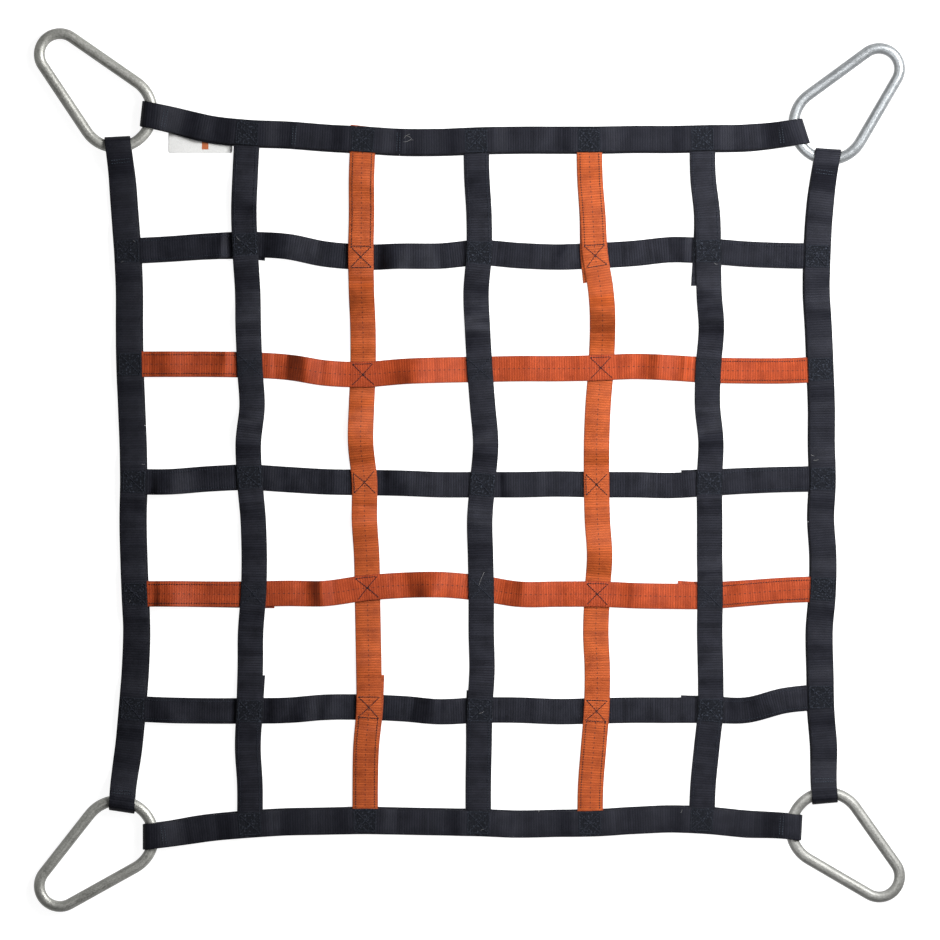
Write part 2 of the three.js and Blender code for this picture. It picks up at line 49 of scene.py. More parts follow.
# The courses of all straps stand here, because where a strap crosses depends on what it meets.
# at, near and far: sideways of the strap's line at its crossings and at thirds of its cells.
# lift: arch of each cell. past, aside and peek, for the two ends: how far a tail goes on behind
# its first crossing, how far its tip shows beside the strap, and its fold beyond the border.
# creases: place along the strap, spread, height (less than none for a trough), slant across,
# and how much stronger towards one edge. rolls: place, spread and degrees of a lean to one side.
# lean: how far a fold lies aslant of the border that it goes round.
# outward and joint: which side of a border is the net's edge, and where its ends butt.
ACROSS = [
    dict(name="border_top", outward=1, joint=-95,
         at=[37, 7, -2, -3, -2, 0, 14], near=[26, 5, -5, -2, -1, 1], far=[13, 1, -5, -2, -1, 6],
         lift=[4, 2, 3, 2, 2, 1],
         creases=[(-239, 5, 0.8, 0.1, 0), (-91, 6, 1.4, 0.1, 0.3), (95, 18, 0.6, 0.2, 0)]),
    dict(name="strap_across_2", finish="black", past=[28, 36], aside=[-4, 0], peek=[0, 0],
         at=[4, 13, -4, 2, -2, 4, -3], near=[7, 10, -3, -2, 1, 0], far=[11, 0, -2.5, -4, 6, -2],
         lift=[2, 3, 8, 3, 2, 2],
         creases=[(-335, 10, 5, 0.4, -0.2), (-250, 22, 9, 0, 0), (-195, 13, -2, -0.4, 0.6),
                  (-99, 18, 10, 0.1, -0.5), (-38, 18, -5, -0.4, 0.1), (128, 10, 4, 0.5, 0.6),
                  (258, 22, -2.5, -0.5, -0.2), (295, 14, 2.5, 0.5, 0.6), (400, 15, -1.5, 0.1, 0)]),
    dict(name="strap_across_3", finish="orange", past=[36, 36], aside=[0, 0], peek=[0, 0],
         at=[6, 5, -8, -1, 1, -2, -1], near=[6, 2, -4, 0, 3, -3], far=[6, -6, -2, 0, 1, -3],
         lift=[1, 9, 6, 2, 8, 3],
         creases=[(-410, 20, 6, 0, 0.2), (-330, 15, 5, 0.3, 0.4), (-254, 13, -4.5, -0.1, 0.2),
                  (-226, 15, 10, -0.1, 0.4), (-192, 9, 2.5, -0.1, 0.4), (-77, 23, 9, 0, -0.4),
                  (-42, 20, 4, 0, -0.5), (77, 16, 2, 0.2, 0.3), (240, 12, -3, 0, 0.2),
                  (258, 11, 6.5, 0, 0.3), (276, 20, 4, 0.3, 0.3), (297, 9, 5.5, 0.1, 0.3),
                  (392, 22, -2, -0.5, 0)]),
    dict(name="strap_across_4", finish="black", past=[36, 37], aside=[0, 3], peek=[0, 0],
         at=[0, 6, -1, -4, -4, -2, 4], near=[0, 3, -2, -4, -4, 1], far=[4, 0, -4, -3, -5, 3],
         lift=[2, 3, 2, 4, 3, 2],
         creases=[(-408, 22, 9, 0.2, -0.6), (-364, 22, -2, -0.5, 0.6), (-256, 12, -2, -0.3, 0),
                  (-212, 18, -2.5, -0.2, 0), (-90, 20, 6.5, -0.4, 0), (-55, 22, 2.5, -0.5, -0.2),
                  (47, 15, 3, -0.5, 0), (112, 22, -3, -0.1, 0), (266, 22, -3, -0.3, 0.4),
                  (370, 16, -1.5, -0.5, 0.4)]),
    dict(name="strap_across_5", finish="orange", past=[28, 44], aside=[-2.5, 4], peek=[0, 0],
         at=[-1, -1, 7, 7, -1, -4, 6], near=[-0.5, 0, 11, -1, -3, 0], far=[-1, 0, 12, -1, -4, 4],
         lift=[2, 6, 9, 8, 3, 6],
         creases=[(-407, 21, 9, -0.1, -0.5), (-354, 22, -2, -0.5, 0.5), (-220, 14, -4, -0.2, 0),
                  (-201, 10, 7, 0, 0.3), (-85, 22, -4.5, -0.5, -0.4), (-43, 20, 10, 0.5, -0.4),
                  (71, 11, 5, 0.1, 0.5), (118, 19, -3.5, 0.2, -0.6), (222, 13, 4.5, 0, 0.2),
                  (250, 21, 4, -0.1, 0), (370, 8, 2, 0.4, 0.4), (405, 21, -4, 0, -0.2)]),
    dict(name="strap_across_6", finish="black", past=[36, 40], aside=[0, 3], peek=[0, 0],
         at=[1, -2, 3, -1, -2, -1, 17], near=[-1, -1, 1, -1, -1, -1], far=[-2, 3, -3, -3, -1, 12],
         lift=[3, 2, 6, 3, 2, 9],
         creases=[(-412, 22, 5, -0.4, -0.6), (-257, 22, 4.5, 0.5, 0.5), (-223, 17, 6.5, 0.2, -0.4),
                  (-191, 11, 3, 0.3, -0.5), (-80, 21, -4.5, -0.5, 0.3), (-50, 20, 7, 0.5, 0.6),
                  (-29, 12, -4.5, -0.1, 0.2), (66, 22, -2, -0.4, 0.5), (114, 21, -2, -0.4, 0),
                  (263, 15, 2.5, 0.1, -0.6), (425, 20, 4, 0.3, 0.3)],
         rolls=[(396, 34, 8)]),
    dict(name="border_bottom", outward=-1, joint=95,
         at=[-21, -2, 3, 0, 0, 3, -10], near=[-15, 1, 2, -2, 3, -2], far=[-7, 2, 1, -1, 5, -4],
         lift=[1, 2, 2, 1, 3, 1],
         creases=[(-385, 12, 1.5, 0.1, 0.3), (-230, 16, 1, 0.2, 0), (60, 8, 1.5, 0.2, -0.4),
                  (240, 16, 1, 0.1, 0)],
         rolls=[(52, 16, -5)]),
]
DOWN = [
    dict(name="border_left", outward=-1, joint=-60,
         at=[-17, -3, 0, 5, 7, 3, -12], near=[-11, -1, 2, 4, 9, -2], far=[-7, -1, 4, 5, 7, -9],
         lift=[1, 2, 1, 2, 2, 1],
         creases=[(-365, 16, 1, 0.1, 0), (-70, 14, 1, 0.1, 0.3), (235, 14, 1.2, 0.3, -0.3)],
         rolls=[(215, 30, 5)]),
    dict(name="strap_down_2", finish="black", past=[37, 49], aside=[0, 3], peek=[0, 0],
         at=[-3, -5, 1, 1, 6, 0, 1], near=[-5.5, -2, 4, 5.5, 2, -2], far=[-7, -1, -1, 7, 1.5, 1],
         lift=[3, 2, 7, 8, 2, 3],
         creases=[(-372, 22, 6, 0.4, 0.3), (-356, 17, 3.5, -0.1, -0.5), (-264, 12, -2.5, -0.2, -0.5),
                  (-202, 22, 7, -0.2, -0.6), (-65, 11, 4.5, -0.1, -0.5), (-40, 17, 8, 0.1, -0.3),
                  (50, 20, 3, 0.4, 0.4), (216, 10, 1.5, -0.2, 0.4), (266, 10, -2, -0.3, -0.4),
                  (430, 20, 1.5, 0, -0.3)]),
    dict(name="strap_down_3", finish="orange", past=[36, 44], aside=[0, 3.5], peek=[1, 0], lean=[0.06, 0],
         at=[-1, -4, -1, 1, 5, 7, 2], near=[-3, -3, -3, 1, 6, 3], far=[-3, -1, -4, 4, 7, 2],
         lift=[2, 7, 8, 4, 2, 4],
         creases=[(-392, 15, 3, 0.4, 0.4), (-256, 8, -5, 0.1, 0.5), (-235, 22, 7, -0.4, 0.6),
                  (-206, 20, -4.5, 0.1, -0.4), (-83, 9, 4, -0.3, -0.6), (-69, 14, 6, -0.5, -0.3),
                  (-38, 22, 10, 0.1, -0.1), (51, 14, -4.5, 0.2, 0.3), (68, 17, 8, -0.2, -0.2),
                  (254, 17, 5, -0.2, -0.3), (371, 21, 3, -0.2, 0.5)]),
    dict(name="strap_down_4", finish="black", past=[36, 26], aside=[0, -2], peek=[0, 0],
         at=[-5, -1, 0, 4, 2, 0, -2], near=[-4, -5, 4, 0, 2, -1], far=[-1, -3, 8, 1, 3, -2],
         lift=[4, 3, 8, 3, 2, 3],
         creases=[(-405, 22, -3, -0.4, -0.5), (-396, 19, 5, 0.2, 0.5), (-231, 17, -3, 0.5, 0.3),
                  (-200, 9, -4, 0.1, 0.3), (-197, 22, 11, -0.1, -0.5), (-69, 19, -4.5, -0.5, -0.6),
                  (-34, 19, 7, 0.2, -0.6), (72, 13, 7, 0.2, -0.1), (97, 21, 6.5, 0.2, -0.1),
                  (281, 9, 2, -0.3, 0.6), (408, 22, -2, 0.3, 0)]),
    dict(name="strap_down_5", finish="orange", past=[34, 36], aside=[-5, 0], peek=[0, 0],
         at=[-11, -3, 5, -1, 0, -1, -10], near=[-10, 5, 1, 0, -2, -5], far=[-6, 7, -1, 3, 0, -9],
         lift=[3, 9, 5, 6, 3, 5],
         creases=[(-407, 12, 2.5, -0.2, 0.5), (-365, 20, -2, -0.2, 0.6), (-222, 11, 10, 0, 0),
                  (-206, 21, 9, 0, 0.6), (-25, 14, 5.5, 0, 0.3), (64, 20, 4, -0.5, 0),
                  (112, 22, 7.5, 0.1, -0.2), (266, 17, 3, 0, 0.1), (405, 22, -3.5, 0.1, 0)]),
    dict(name="strap_down_6", finish="black", past=[47, 36], aside=[-7, 0], peek=[0, 0],
         at=[-9, -1, -1, 0.5, 1.5, 2, -10], near=[-8, 0, -2, 1, 1, -3], far=[-2, 3, 2.5, 1, 2, -8],
         lift=[8, 6, 6, 2, 3, 5],
         creases=[(-374, 21, -5, 0.2, 0.4), (-205, 26, 10, -0.2, 0.4), (-50, 23, 10, -0.2, -0.4),
                  (100, 20, -1.5, 0.4, 0), (133, 10, 3.5, -0.1, 0), (219, 17, 2, 0.2, 0),
                  (267, 18, 5, 0, 0.3), (401, 22, -2.5, 0.3, 0)],
         rolls=[(-248, 16, -6)]),
    dict(name="border_right", outward=1, joint=70,
         at=[13, -5, -1, 2, 2, 0, 8], near=[4, -6, 1, 0, -2, 4], far=[-2, -3, 1, 3, -1, 4],
         lift=[1, 3, 1, 1, 2, 1],
         creases=[(-350, 12, 1.2, 0.1, 0), (-221, 9, 2.5, 0.2, 0.4), (-80, 14, 1, 0.1, 0),
                  (235, 12, 1.5, 0.2, -0.3)],
         rolls=[(-252, 18, -4), (76, 26, -4)]),
]


def ease(u):
    """0 to 1 on 3u^2 - 2u^3, held beyond."""
    u = np.clip(u, 0, 1)
    return u * u * (3 - 2 * u)


def smooth_path(knots_s, knots_v):
    """v(s) on cubic pieces through the knots. The slope at a knot is that of the line from the
    knot before to the one after, and the path goes on straight beyond its ends."""
    s, v = np.array(knots_s, float), np.array(knots_v, float)
    slope = np.gradient(v, s)
    slope[1:-1] = (v[2:] - v[:-2]) / (s[2:] - s[:-2])

    def path(at):
        """From knot to knot: an eased step, the bend of both slopes, and what lies beyond the ends."""
        i = np.clip(np.searchsorted(s, at, side="right") - 1, 0, len(s) - 2)
        length = s[i + 1] - s[i]
        u = np.clip((at - s[i]) / length, 0, 1)
        bend = u * (1 - u) * length * (slope[i] * (1 - u) - slope[i + 1] * u)
        beyond = (at - s[i] - u * length) * np.where(u > 0, slope[i + 1], slope[i])
        return v[i] + (v[i + 1] - v[i]) * ease(u) + bend + beyond

    return path


def slope_at(path, s):
    """How far a path goes sideways in a millimetre, from the points one before and one after."""
    return (path(s + 1) - path(s - 1)) / 2


def strap_path(strap, line, stops):
    """The strap's path through its columns at, near and far, in plan."""
    stops = np.array(stops, float)
    cells = np.diff(stops)
    s = np.concatenate([stops, stops[:-1] + cells / 3, stops[:-1] + 2 * cells / 3])
    v = line + np.array(strap["at"] + strap["near"] + strap["far"], float)
    order = np.argsort(s)
    return smooth_path(s[order], v[order])


def roll_angle(strap, s):
    """Lean of the webbing to one side, in radians: a sum of bell curves along the strap."""
    total = np.zeros(np.shape(s))
    for place, spread, degrees in strap.get("rolls", ()):
        total += np.radians(degrees) * np.exp(-(((s - place) / spread) ** 2))
    return total


def on_strap(strap, s, w):
    """Place in plan: along the strap's path to s, then w square to it, less where it leans."""
    slope = slope_at(strap["path"], s)
    length = np.hypot(1, slope)
    w = w * np.cos(roll_angle(strap, s))
    along, side = s - w * slope / length, strap["path"](s) + w / length
    return (side, -along) if strap["down"] else (along, side)


for strap, line in zip(ACROSS, ACROSS_LINES):
    strap.update(down=False, crossings=[], path=strap_path(strap, line, DOWN_LINES))
for strap, line in zip(DOWN, DOWN_LINES):
    strap.update(down=True, crossings=[], path=strap_path(strap, line, [-y for y in ACROSS_LINES]))

# Two straps cross where their paths meet: a few steps to and fro between the two find the place
CROSSING_STEPS = 6
for down in DOWN:
    for across in ACROSS:
        x, y = 0.0, 0.0
        for _ in range(CROSSING_STEPS):
            x = float(down["path"](-y))
            y = float(across["path"](x))
        down["crossings"].append(-y)
        across["crossings"].append(x)

CREASE_CLEAR, CREASE_FADE, TROUGH_SHARE = 22.0, 12.0, 0.8


def crease_height(strap, s, w):
    """Sum of soft ridges and troughs: each is a bell curve along the strap, moved along by slant
    times w and growing towards one edge. All of them die away towards the sewn crossings, and no
    trough goes deeper than most of the strap's own height over its place in the layers. Where the
    webbing leans, it rises by the sine of the angle from its lower edge."""
    total = np.zeros(np.broadcast(s, w).shape)
    for place, spread, height, slant, edge in strap["creases"]:
        bell = np.exp(-(((s - place - slant * w) / spread) ** 2))
        total += height * (1 + edge * w / HALF_WIDTH) * bell
    rise = np.sin(roll_angle(strap, s))
    rise = w * rise + HALF_WIDTH * np.abs(rise)
    for crossing in strap["crossings"]:
        free = ease((np.abs(s - crossing) - CREASE_CLEAR) / CREASE_FADE)
        total, rise = total * free, rise * free
    return np.maximum(total, -TROUGH_SHARE * np.interp(s, *strap["slack"])) + rise


# Route of a strap: flat on its layer at each crossing, with a ramp either side, arched in its cells
CROSSING_HALF, RAMP = 21.0, 24.0
ROUTE_STEP, FEWEST_STEPS, TURN_STEPS = 1.0, 3, 14


def layer_height(layer):
    """Height of the middle of the webbing in a layer over the floor."""
    return layer * LAYER + WEB_THICK / 2


def eased(stops, lay):
    """Rows of s, z, aside and skew about a millimetre apart along the stops (s, z): z goes from
    stop to stop on 3u^2 - 2u^3, and lay gives aside and skew."""
    s, z = [], []
    for (s0, z0), (s1, z1) in zip(stops, stops[1:]):
        u = np.linspace(0, 1, max(FEWEST_STEPS, int(abs(s1 - s0) / ROUTE_STEP)), endpoint=False)
        s.append(s0 + (s1 - s0) * u)
        z.append(z0 + (z1 - z0) * ease(u))
    s = np.append(np.concatenate(s), stops[-1][0])
    z = np.append(np.concatenate(z), stops[-1][1])
    aside, skew = lay(s)
    return np.stack([s, z, aside + 0 * s, skew + 0 * s], 1)


def half_turn(centre, z, radius, stretch, skew, way):
    """Half a turn from the lower layer to the upper one, a circle stretched along s."""
    angle = np.linspace(0, np.pi, TURN_STEPS)[1:-1]
    s = centre - way * radius * stretch * np.sin(angle)
    return np.stack([s, z - radius * np.cos(angle), 0 * s, skew + 0 * s], 1)


def arch(start, end, layer, lift):
    """Stops over a cell's free stretch, half its lift at the feet and all of it in the middle."""
    z = layer_height(layer)
    return [(start, z + lift / 2), ((start + end) / 2, z + lift), (end, z + lift / 2)]


# Tails and folds of a strap, and the layers of the border's back and front where it folds
TAIL_COVER, TAIL_BEND = 3.0, 3
FOLD_INSET, FOLD_FLAT, FOLD_RUN, BORDER_SHIFT = 0.2, 0.55, 45.0, 1.2
BACK_LAYER, FRONT_LAYER = 1, 3


def inner_route(strap, borders, layers, tail_layer):
    """Rows of s, z, aside and skew: tail, fold, main run, fold and tail. A fold lies aslant by the
    strap's slope less the border's, which dies away along the run, and a tail's tip goes aside."""
    at, past, lift = strap["crossings"], strap["past"], strap["lift"]
    foot = CROSSING_HALF + RAMP
    folds, leans, tails = [], [], []
    for end, (outer, first, cell, way) in enumerate([(0, 1, 0, 1), (LAST, LAST - 1, LAST - 1, -1)]):
        x, y = on_strap(strap, at[outer], 0.0)
        beside = x if strap["down"] else -y
        aslant = strap.get("lean", (0, 0))[end] - slope_at(borders[end]["path"], beside)
        lean = slope_at(strap["path"], at[outer]) + aslant
        fold = at[outer] - way * (HALF_WIDTH - BORDER_SHIFT - FOLD_INSET + strap["peek"][end])
        tip = at[first] + way * past[end]
        low, high = layer_height(0), layer_height(tail_layer)
        stops = [(fold, low), (at[outer] + way * CROSSING_HALF, low)]
        stops += arch(at[outer] + way * foot, at[first] - way * foot, 0, lift[cell])
        stops += [(at[first] - way * CROSSING_HALF, high), (tip, high)]
        side = strap["aside"][end]
        folds.append(fold)
        leans.append(lean)
        tails.append(eased(stops, lambda s: (side * ((s - fold) / (tip - fold)) ** TAIL_BEND,
                                             lean * (1 - ease(np.abs(s - fold) / FOLD_RUN)))))
    starts = [s - CROSSING_HALF for s in at]
    ends = [s + CROSSING_HALF for s in at]
    starts[0], ends[LAST] = folds
    ends[1] = at[1] + past[0] + TAIL_COVER
    starts[LAST - 1] = at[LAST - 1] - past[1] - TAIL_COVER
    stops = []
    for i in range(LAST + 1):
        stops += [(starts[i], layer_height(layers[i])), (ends[i], layer_height(layers[i]))]
        if i < LAST:
            cell_layer = 1 if i in (0, LAST - 1) else 0
            stops += arch(ends[i] + RAMP, starts[i + 1] - RAMP, cell_layer, lift[i])
    main = eased(stops, lambda s: (0, sum(lean * (1 - ease(np.abs(s - fold) / FOLD_RUN))
                                          for fold, lean in zip(folds, leans))))
    strap["top"] = main[:, :2]
    over_tail = (main[:, 0] < at[1]) | (main[:, 0] > at[LAST - 1])
    strap["slack"] = main[:, 0], main[:, 1] - layer_height(over_tail)
    turns = [half_turn(fold, layer_height(BACK_LAYER), LAYER, FOLD_FLAT, lean, way)
             for fold, lean, way in zip(folds, leans, (1, -1))]
    return np.concatenate([tails[0][::-1], turns[0], main, turns[1][::-1], tails[1]])


# Webbing along a route: its ribs stand in the mesh, and each sewn box is marked for the finish
EDGE_TURN = 50


def web_section():
    """One section of webbing, w across and n through it: one strip below, three above, round edges."""
    r = WEB_THICK / 2
    flat = HALF_WIDTH - r
    turn = np.radians([-EDGE_TURN, 0, EDGE_TURN])
    w = np.concatenate([[-flat, flat], flat + r * np.cos(turn), [flat, flat / 3, -flat / 3, -flat],
                        -flat - r * np.cos(turn[::-1])])
    n = np.concatenate([[-r, -r], r * np.sin(turn), [r] * 4, r * np.sin(turn[::-1])])
    return w, n


def put_mesh(name, points, faces, smooth):
    """A piece of the scene from points in millimetres and faces, shaded smooth where said."""
    mesh = bpy.data.meshes.new(name)
    mesh.from_pydata((points.reshape(-1, 3) * MM).tolist(), [], faces)
    mesh.polygons.foreach_set("use_smooth", smooth & np.ones(len(faces), bool))
    mesh.update()
    piece = bpy.data.objects.new(name, mesh)
    bpy.context.scene.collection.objects.link(piece)
    return piece


def put_grid(name, points, uv, closed):
    """A piece over a grid of points, rows along and columns around: columns join up, and rows
    either join up, where closed, or get a flat cap at each end."""
    rows, around = points.shape[:2]
    here = np.arange(rows if closed else rows - 1)[:, None] * around
    there = (here + around) % (rows * around)
    k = np.arange(around)[None]
    beside = (k + 1) % around
    faces = np.stack([here + k, here + beside, there + beside, there + k], -1).reshape(-1, 4).tolist()
    sides = len(faces)
    if not closed:
        faces += [np.arange(around)[::-1].tolist(), ((rows - 1) * around + np.arange(around)).tolist()]
    piece = put_mesh(name, points, faces, np.arange(len(faces)) < sides)
    corner = np.empty(len(piece.data.loops), np.int32)
    piece.data.loops.foreach_get("vertex_index", corner)
    piece.data.uv_layers.new(name="lay").data.foreach_set("uv", uv.reshape(-1, 2)[corner].ravel())
    return piece


RIB_PITCH, RIB_STEPS, RIB_DEPTH = 3.4, 4, 0.13
SEWN_HALF, SEWN_FADE, SEWN_FAINT = 13.0, 4.0, 0.35


def over_orange(strap, other):
    """Whether a black inner strap crosses an orange one, where its sewing hardly shows."""
    return strap.get("finish") == "black" and other.get("finish") == "orange"


def webbing(strap, route):
    """Webbing along its route: stations a quarter of a rib apart by length, each one section
    square to the run, its faces swelling on every rib, set on the strap's path in plan."""
    slope = slope_at(strap["path"], route[:, 0])
    step = np.hypot(np.diff(route[:, 0]) * np.hypot(1, slope[1:]), np.diff(route[:, 1]))
    length = np.concatenate([[0], np.cumsum(step)])
    along = np.linspace(0, length[-1], int(length[-1] * RIB_STEPS / RIB_PITCH))
    s, z, aside, skew = (np.interp(along, length, column)[:, None] for column in route.T)
    run_s, run_z = np.gradient(s, axis=0), np.gradient(z, axis=0)
    run = np.hypot(run_s, run_z)
    w, n = web_section()
    rib = np.cos(2 * np.pi * along / RIB_PITCH)[:, None]
    n = n * (1 + 2 * RIB_DEPTH * rib / WEB_THICK)
    across = aside + w
    at = s - n * run_z / run + skew * across
    x, y = on_strap(strap, at, across)
    height = np.maximum(z + n * run_s / run + crease_height(strap, at, across), 0)
    uv = np.stack(np.broadcast_arrays(along[:, None] * MM, w * MM), -1)
    strap["length"] = float(along[-1]) * MM
    piece = put_grid(strap["name"] + "_webbing", np.stack([x, y, height], -1), uv, closed=False)
    others = ACROSS if strap["down"] else DOWN
    strength = [SEWN_FAINT if over_orange(strap, other) else 1 for other in others]
    from_box = np.abs(at[..., None] - np.array(strap["crossings"])) - SEWN_HALF
    sewn = np.max(strength * (1 - ease(from_box / SEWN_FADE)), -1)
    piece.data.attributes.new("sewn", "FLOAT", "POINT").data.foreach_set("value", sewn.ravel())
    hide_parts(strap["name"])
    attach(piece, "root")
    return piece


def math_node(tree, operation, *values):
    """A math node of the tree, with numbers or other nodes' outputs put in."""
    node = tree.nodes.new("ShaderNodeMath")
    node.operation = operation
    for socket, value in zip(node.inputs, values):
        if isinstance(value, (int, float)):
            socket.default_value = value
        else:
            tree.links.new(value, socket)
    return node.outputs[0]


def noise_node(tree, place, scale, detail):
    """Noise over the place that is put in."""
    node = tree.nodes.new("ShaderNodeTexNoise")
    node.inputs["Scale"].default_value = scale
    node.inputs["Detail"].default_value = detail
    tree.links.new(place, node.inputs["Vector"])
    return node.outputs[0]


def place_on_web(tree):
    """The place on a piece, by its length along and across in metres."""
    lay = tree.nodes.new("ShaderNodeUVMap")
    lay.uv_map = "lay"
    return lay.outputs[0]


def two_parts(tree, place):
    """The first two parts of a place."""
    split = tree.nodes.new("ShaderNodeSeparateXYZ")
    tree.links.new(place, split.inputs[0])
    return split.outputs["X"], split.outputs["Y"]


# Weave seen close by: ribs across, fine warp yarns along that go over and under by turns. Its shade is
# painted darker in the rib valleys, where the yarns dip and over the rounded edges, and pale specks in the
# sewn boxes are painted glints. Scale and detail of its clouds, fuzz and glint noise, then how much each
# thing adds to the shade.
YARN_PITCH, YARN_RISE = 1.1, 0.6
EDGE_SHADE_FROM, EDGE_SHADE_BAND = 15.6, 1.8
CLOUD, FUZZ, GLINT_NOISE = (60.0, 4.0), (900.0, 2.0), (420.0, 3.0)
GLINT_FROM, GLINT_GAIN = 0.56, 9.0
CREST_CLOUD, CREST_BASE, SHADE_BASE = 0.5, -0.12, -0.39
RIB_SHARE, YARN_SHARE, CLOUD_SHARE, FUZZ_SHARE = 0.18, 0.22, 0.6, 0.75


def weave_group():
    """The weave's shade, painted glints, height, painted edge shade and sewn mark, from the length along
    and across
    the webbing: yarns are half sine waves across, each rising and falling along once a rib, half a rib on
    from the next yarn. The shade is painted lighter on the rib crests and raised yarns and darker in the
    valleys and dips, each rib has its own shade at random, the painted edge shade grows over the outermost
    strip, the sewn mark is that of a sewn box, and painted glints show as pale specks there."""
    tree = bpy.data.node_groups.new("webbing_weave", "ShaderNodeTree")
    lay = place_on_web(tree)
    along, across = two_parts(tree, lay)
    rib = math_node(tree, "MULTIPLY", along, 1 / (RIB_PITCH * MM))
    yarn = math_node(tree, "MULTIPLY", across, 1 / (YARN_PITCH * MM))
    every_other = math_node(tree, "FLOORED_MODULO", math_node(tree, "FLOOR", yarn), 2.0)
    half = math_node(tree, "MULTIPLY", every_other, 0.5)
    turn = math_node(tree, "MULTIPLY", math_node(tree, "ADD", rib, half), 2 * np.pi)
    over = math_node(tree, "MULTIPLY_ADD", math_node(tree, "COSINE", turn), 0.5, 0.5)
    bulge = math_node(tree, "SINE", math_node(tree, "MULTIPLY", math_node(tree, "FRACT", yarn), np.pi))
    rise = math_node(tree, "MULTIPLY_ADD", over, YARN_RISE, 1 - YARN_RISE)
    height = math_node(tree, "MULTIPLY", bulge, rise)
    crest = math_node(tree, "COSINE", math_node(tree, "MULTIPLY", rib, 2 * np.pi))
    cloud, fuzz, glint_noise = (noise_node(tree, lay, *kind) for kind in (CLOUD, FUZZ, GLINT_NOISE))
    own = tree.nodes.new("ShaderNodeTexWhiteNoise")
    own.noise_dimensions = "1D"
    tree.links.new(math_node(tree, "ROUND", rib), own.inputs["W"])
    sewn = tree.nodes.new("ShaderNodeAttribute")
    sewn.attribute_name = "sewn"
    # Painted glints: pale specks over the sewn boxes
    glint = math_node(tree, "MULTIPLY", math_node(tree, "SUBTRACT", glint_noise, GLINT_FROM), GLINT_GAIN)
    glint.node.use_clamp = True
    glint_in_box = math_node(tree, "MULTIPLY", glint, sewn.outputs["Fac"])
    # Painted shade over the rounded edges, growing across the outermost strip
    from_middle = math_node(tree, "ABSOLUTE", across)
    edge = math_node(tree, "MULTIPLY_ADD", from_middle, 1 / (EDGE_SHADE_BAND * MM), -EDGE_SHADE_FROM / EDGE_SHADE_BAND)
    edge.node.use_clamp = True
    # Painted shade: lighter on the rib crests, in patches by the clouds, and on the raised yarns; each
    # rib's own tone, the clouds and the fuzz add random tone
    shade = math_node(tree, "MULTIPLY_ADD", cloud, CREST_CLOUD, CREST_BASE)
    shade = math_node(tree, "MULTIPLY_ADD", crest, shade, SHADE_BASE)
    for value, share in ((own.outputs["Value"], RIB_SHARE), (height, YARN_SHARE),
                         (cloud, CLOUD_SHARE), (fuzz, FUZZ_SHARE)):
        shade = math_node(tree, "MULTIPLY_ADD", value, share, shade)
    results = dict(Shade=shade, PaintedGlint=glint_in_box, Height=height, EdgeShade=edge, Sewn=sewn.outputs["Fac"])
    for name in results:
        tree.interface.new_socket(name, in_out="OUTPUT", socket_type="NodeSocketFloat")
    out = tree.nodes.new("NodeGroupOutput")
    for name, result in results.items():
        tree.links.new(result, out.inputs[name])
    return tree


def new_material(name):
    """A material with nothing but a Principled shader, its nodes and that shader."""
    material = bpy.data.materials.new(name)
    material.use_nodes = True
    return material, material.node_tree, material.node_tree.nodes["Principled BSDF"]


# The mix node's colour sockets, which have the same names as those that it keeps for numbers
MIX_FIRST, MIX_SECOND, MIX_RESULT = 6, 7, 2


def mix_colour(tree, factor, dark, light):
    """A mix of two colours, or of another node's colour and one, by a factor over the surface."""
    node = tree.nodes.new("ShaderNodeMix")
    node.data_type = "RGBA"
    tree.links.new(factor, node.inputs["Factor"])
    for socket, value in zip((node.inputs[MIX_FIRST], node.inputs[MIX_SECOND]), (dark, light)):
        if isinstance(value, tuple):
            socket.default_value = (*value, 1)
        else:
            tree.links.new(value, socket)
    return node.outputs[MIX_RESULT]


def set_bump(tree, shader, height, strength, depth):
    """A bump of that depth in millimetres on the shader."""
    bump = tree.nodes.new("ShaderNodeBump")
    bump.inputs["Strength"].default_value = strength
    bump.inputs["Distance"].default_value = depth * MM
    tree.links.new(height, bump.inputs["Height"])
    tree.links.new(bump.outputs[0], shader.inputs["Normal"])


weave = weave_group()


def put_weave(tree):
    """The weave's outputs in a material."""
    node = tree.nodes.new("ShaderNodeGroup")
    node.node_tree = weave
    return node.outputs


MEAN_SHADE = 0.45


def yarn_shade(tree, yarns, contrast):
    """The weave's shade, painted rib shade and random tone alike, spread out about its mean, as strongly
    as the contrast says.
    """
    return math_node(tree, "MULTIPLY_ADD", yarns["Shade"], contrast, MEAN_SHADE * (1 - contrast))


# Black webbing is a blue black, rougher and greyer where the needle has gone through
BLACK_DARK, BLACK_LIGHT = (0.0012, 0.0013, 0.0026), (0.0110, 0.0114, 0.0162)
# The edge colour is painted shade on the rounded edges
BLACK_EDGE_SHADE, BLACK_SEWN = (0.0008, 0.0008, 0.0014), (0.0028, 0.0038, 0.0046)
# Pale specks: painted glints in the sewn boxes
BLACK_GLINT = (0.028, 0.032, 0.042)
BLACK_CONTRAST = 1.9
BLACK_ROUGH, SEWN_ROUGHER = 0.58, 0.3
EDGE_SHADE_SHARE, SEWN_SHARE = 0.5, 0.5
YARN_BUMP, YARN_DEPTH = 0.6, 0.3


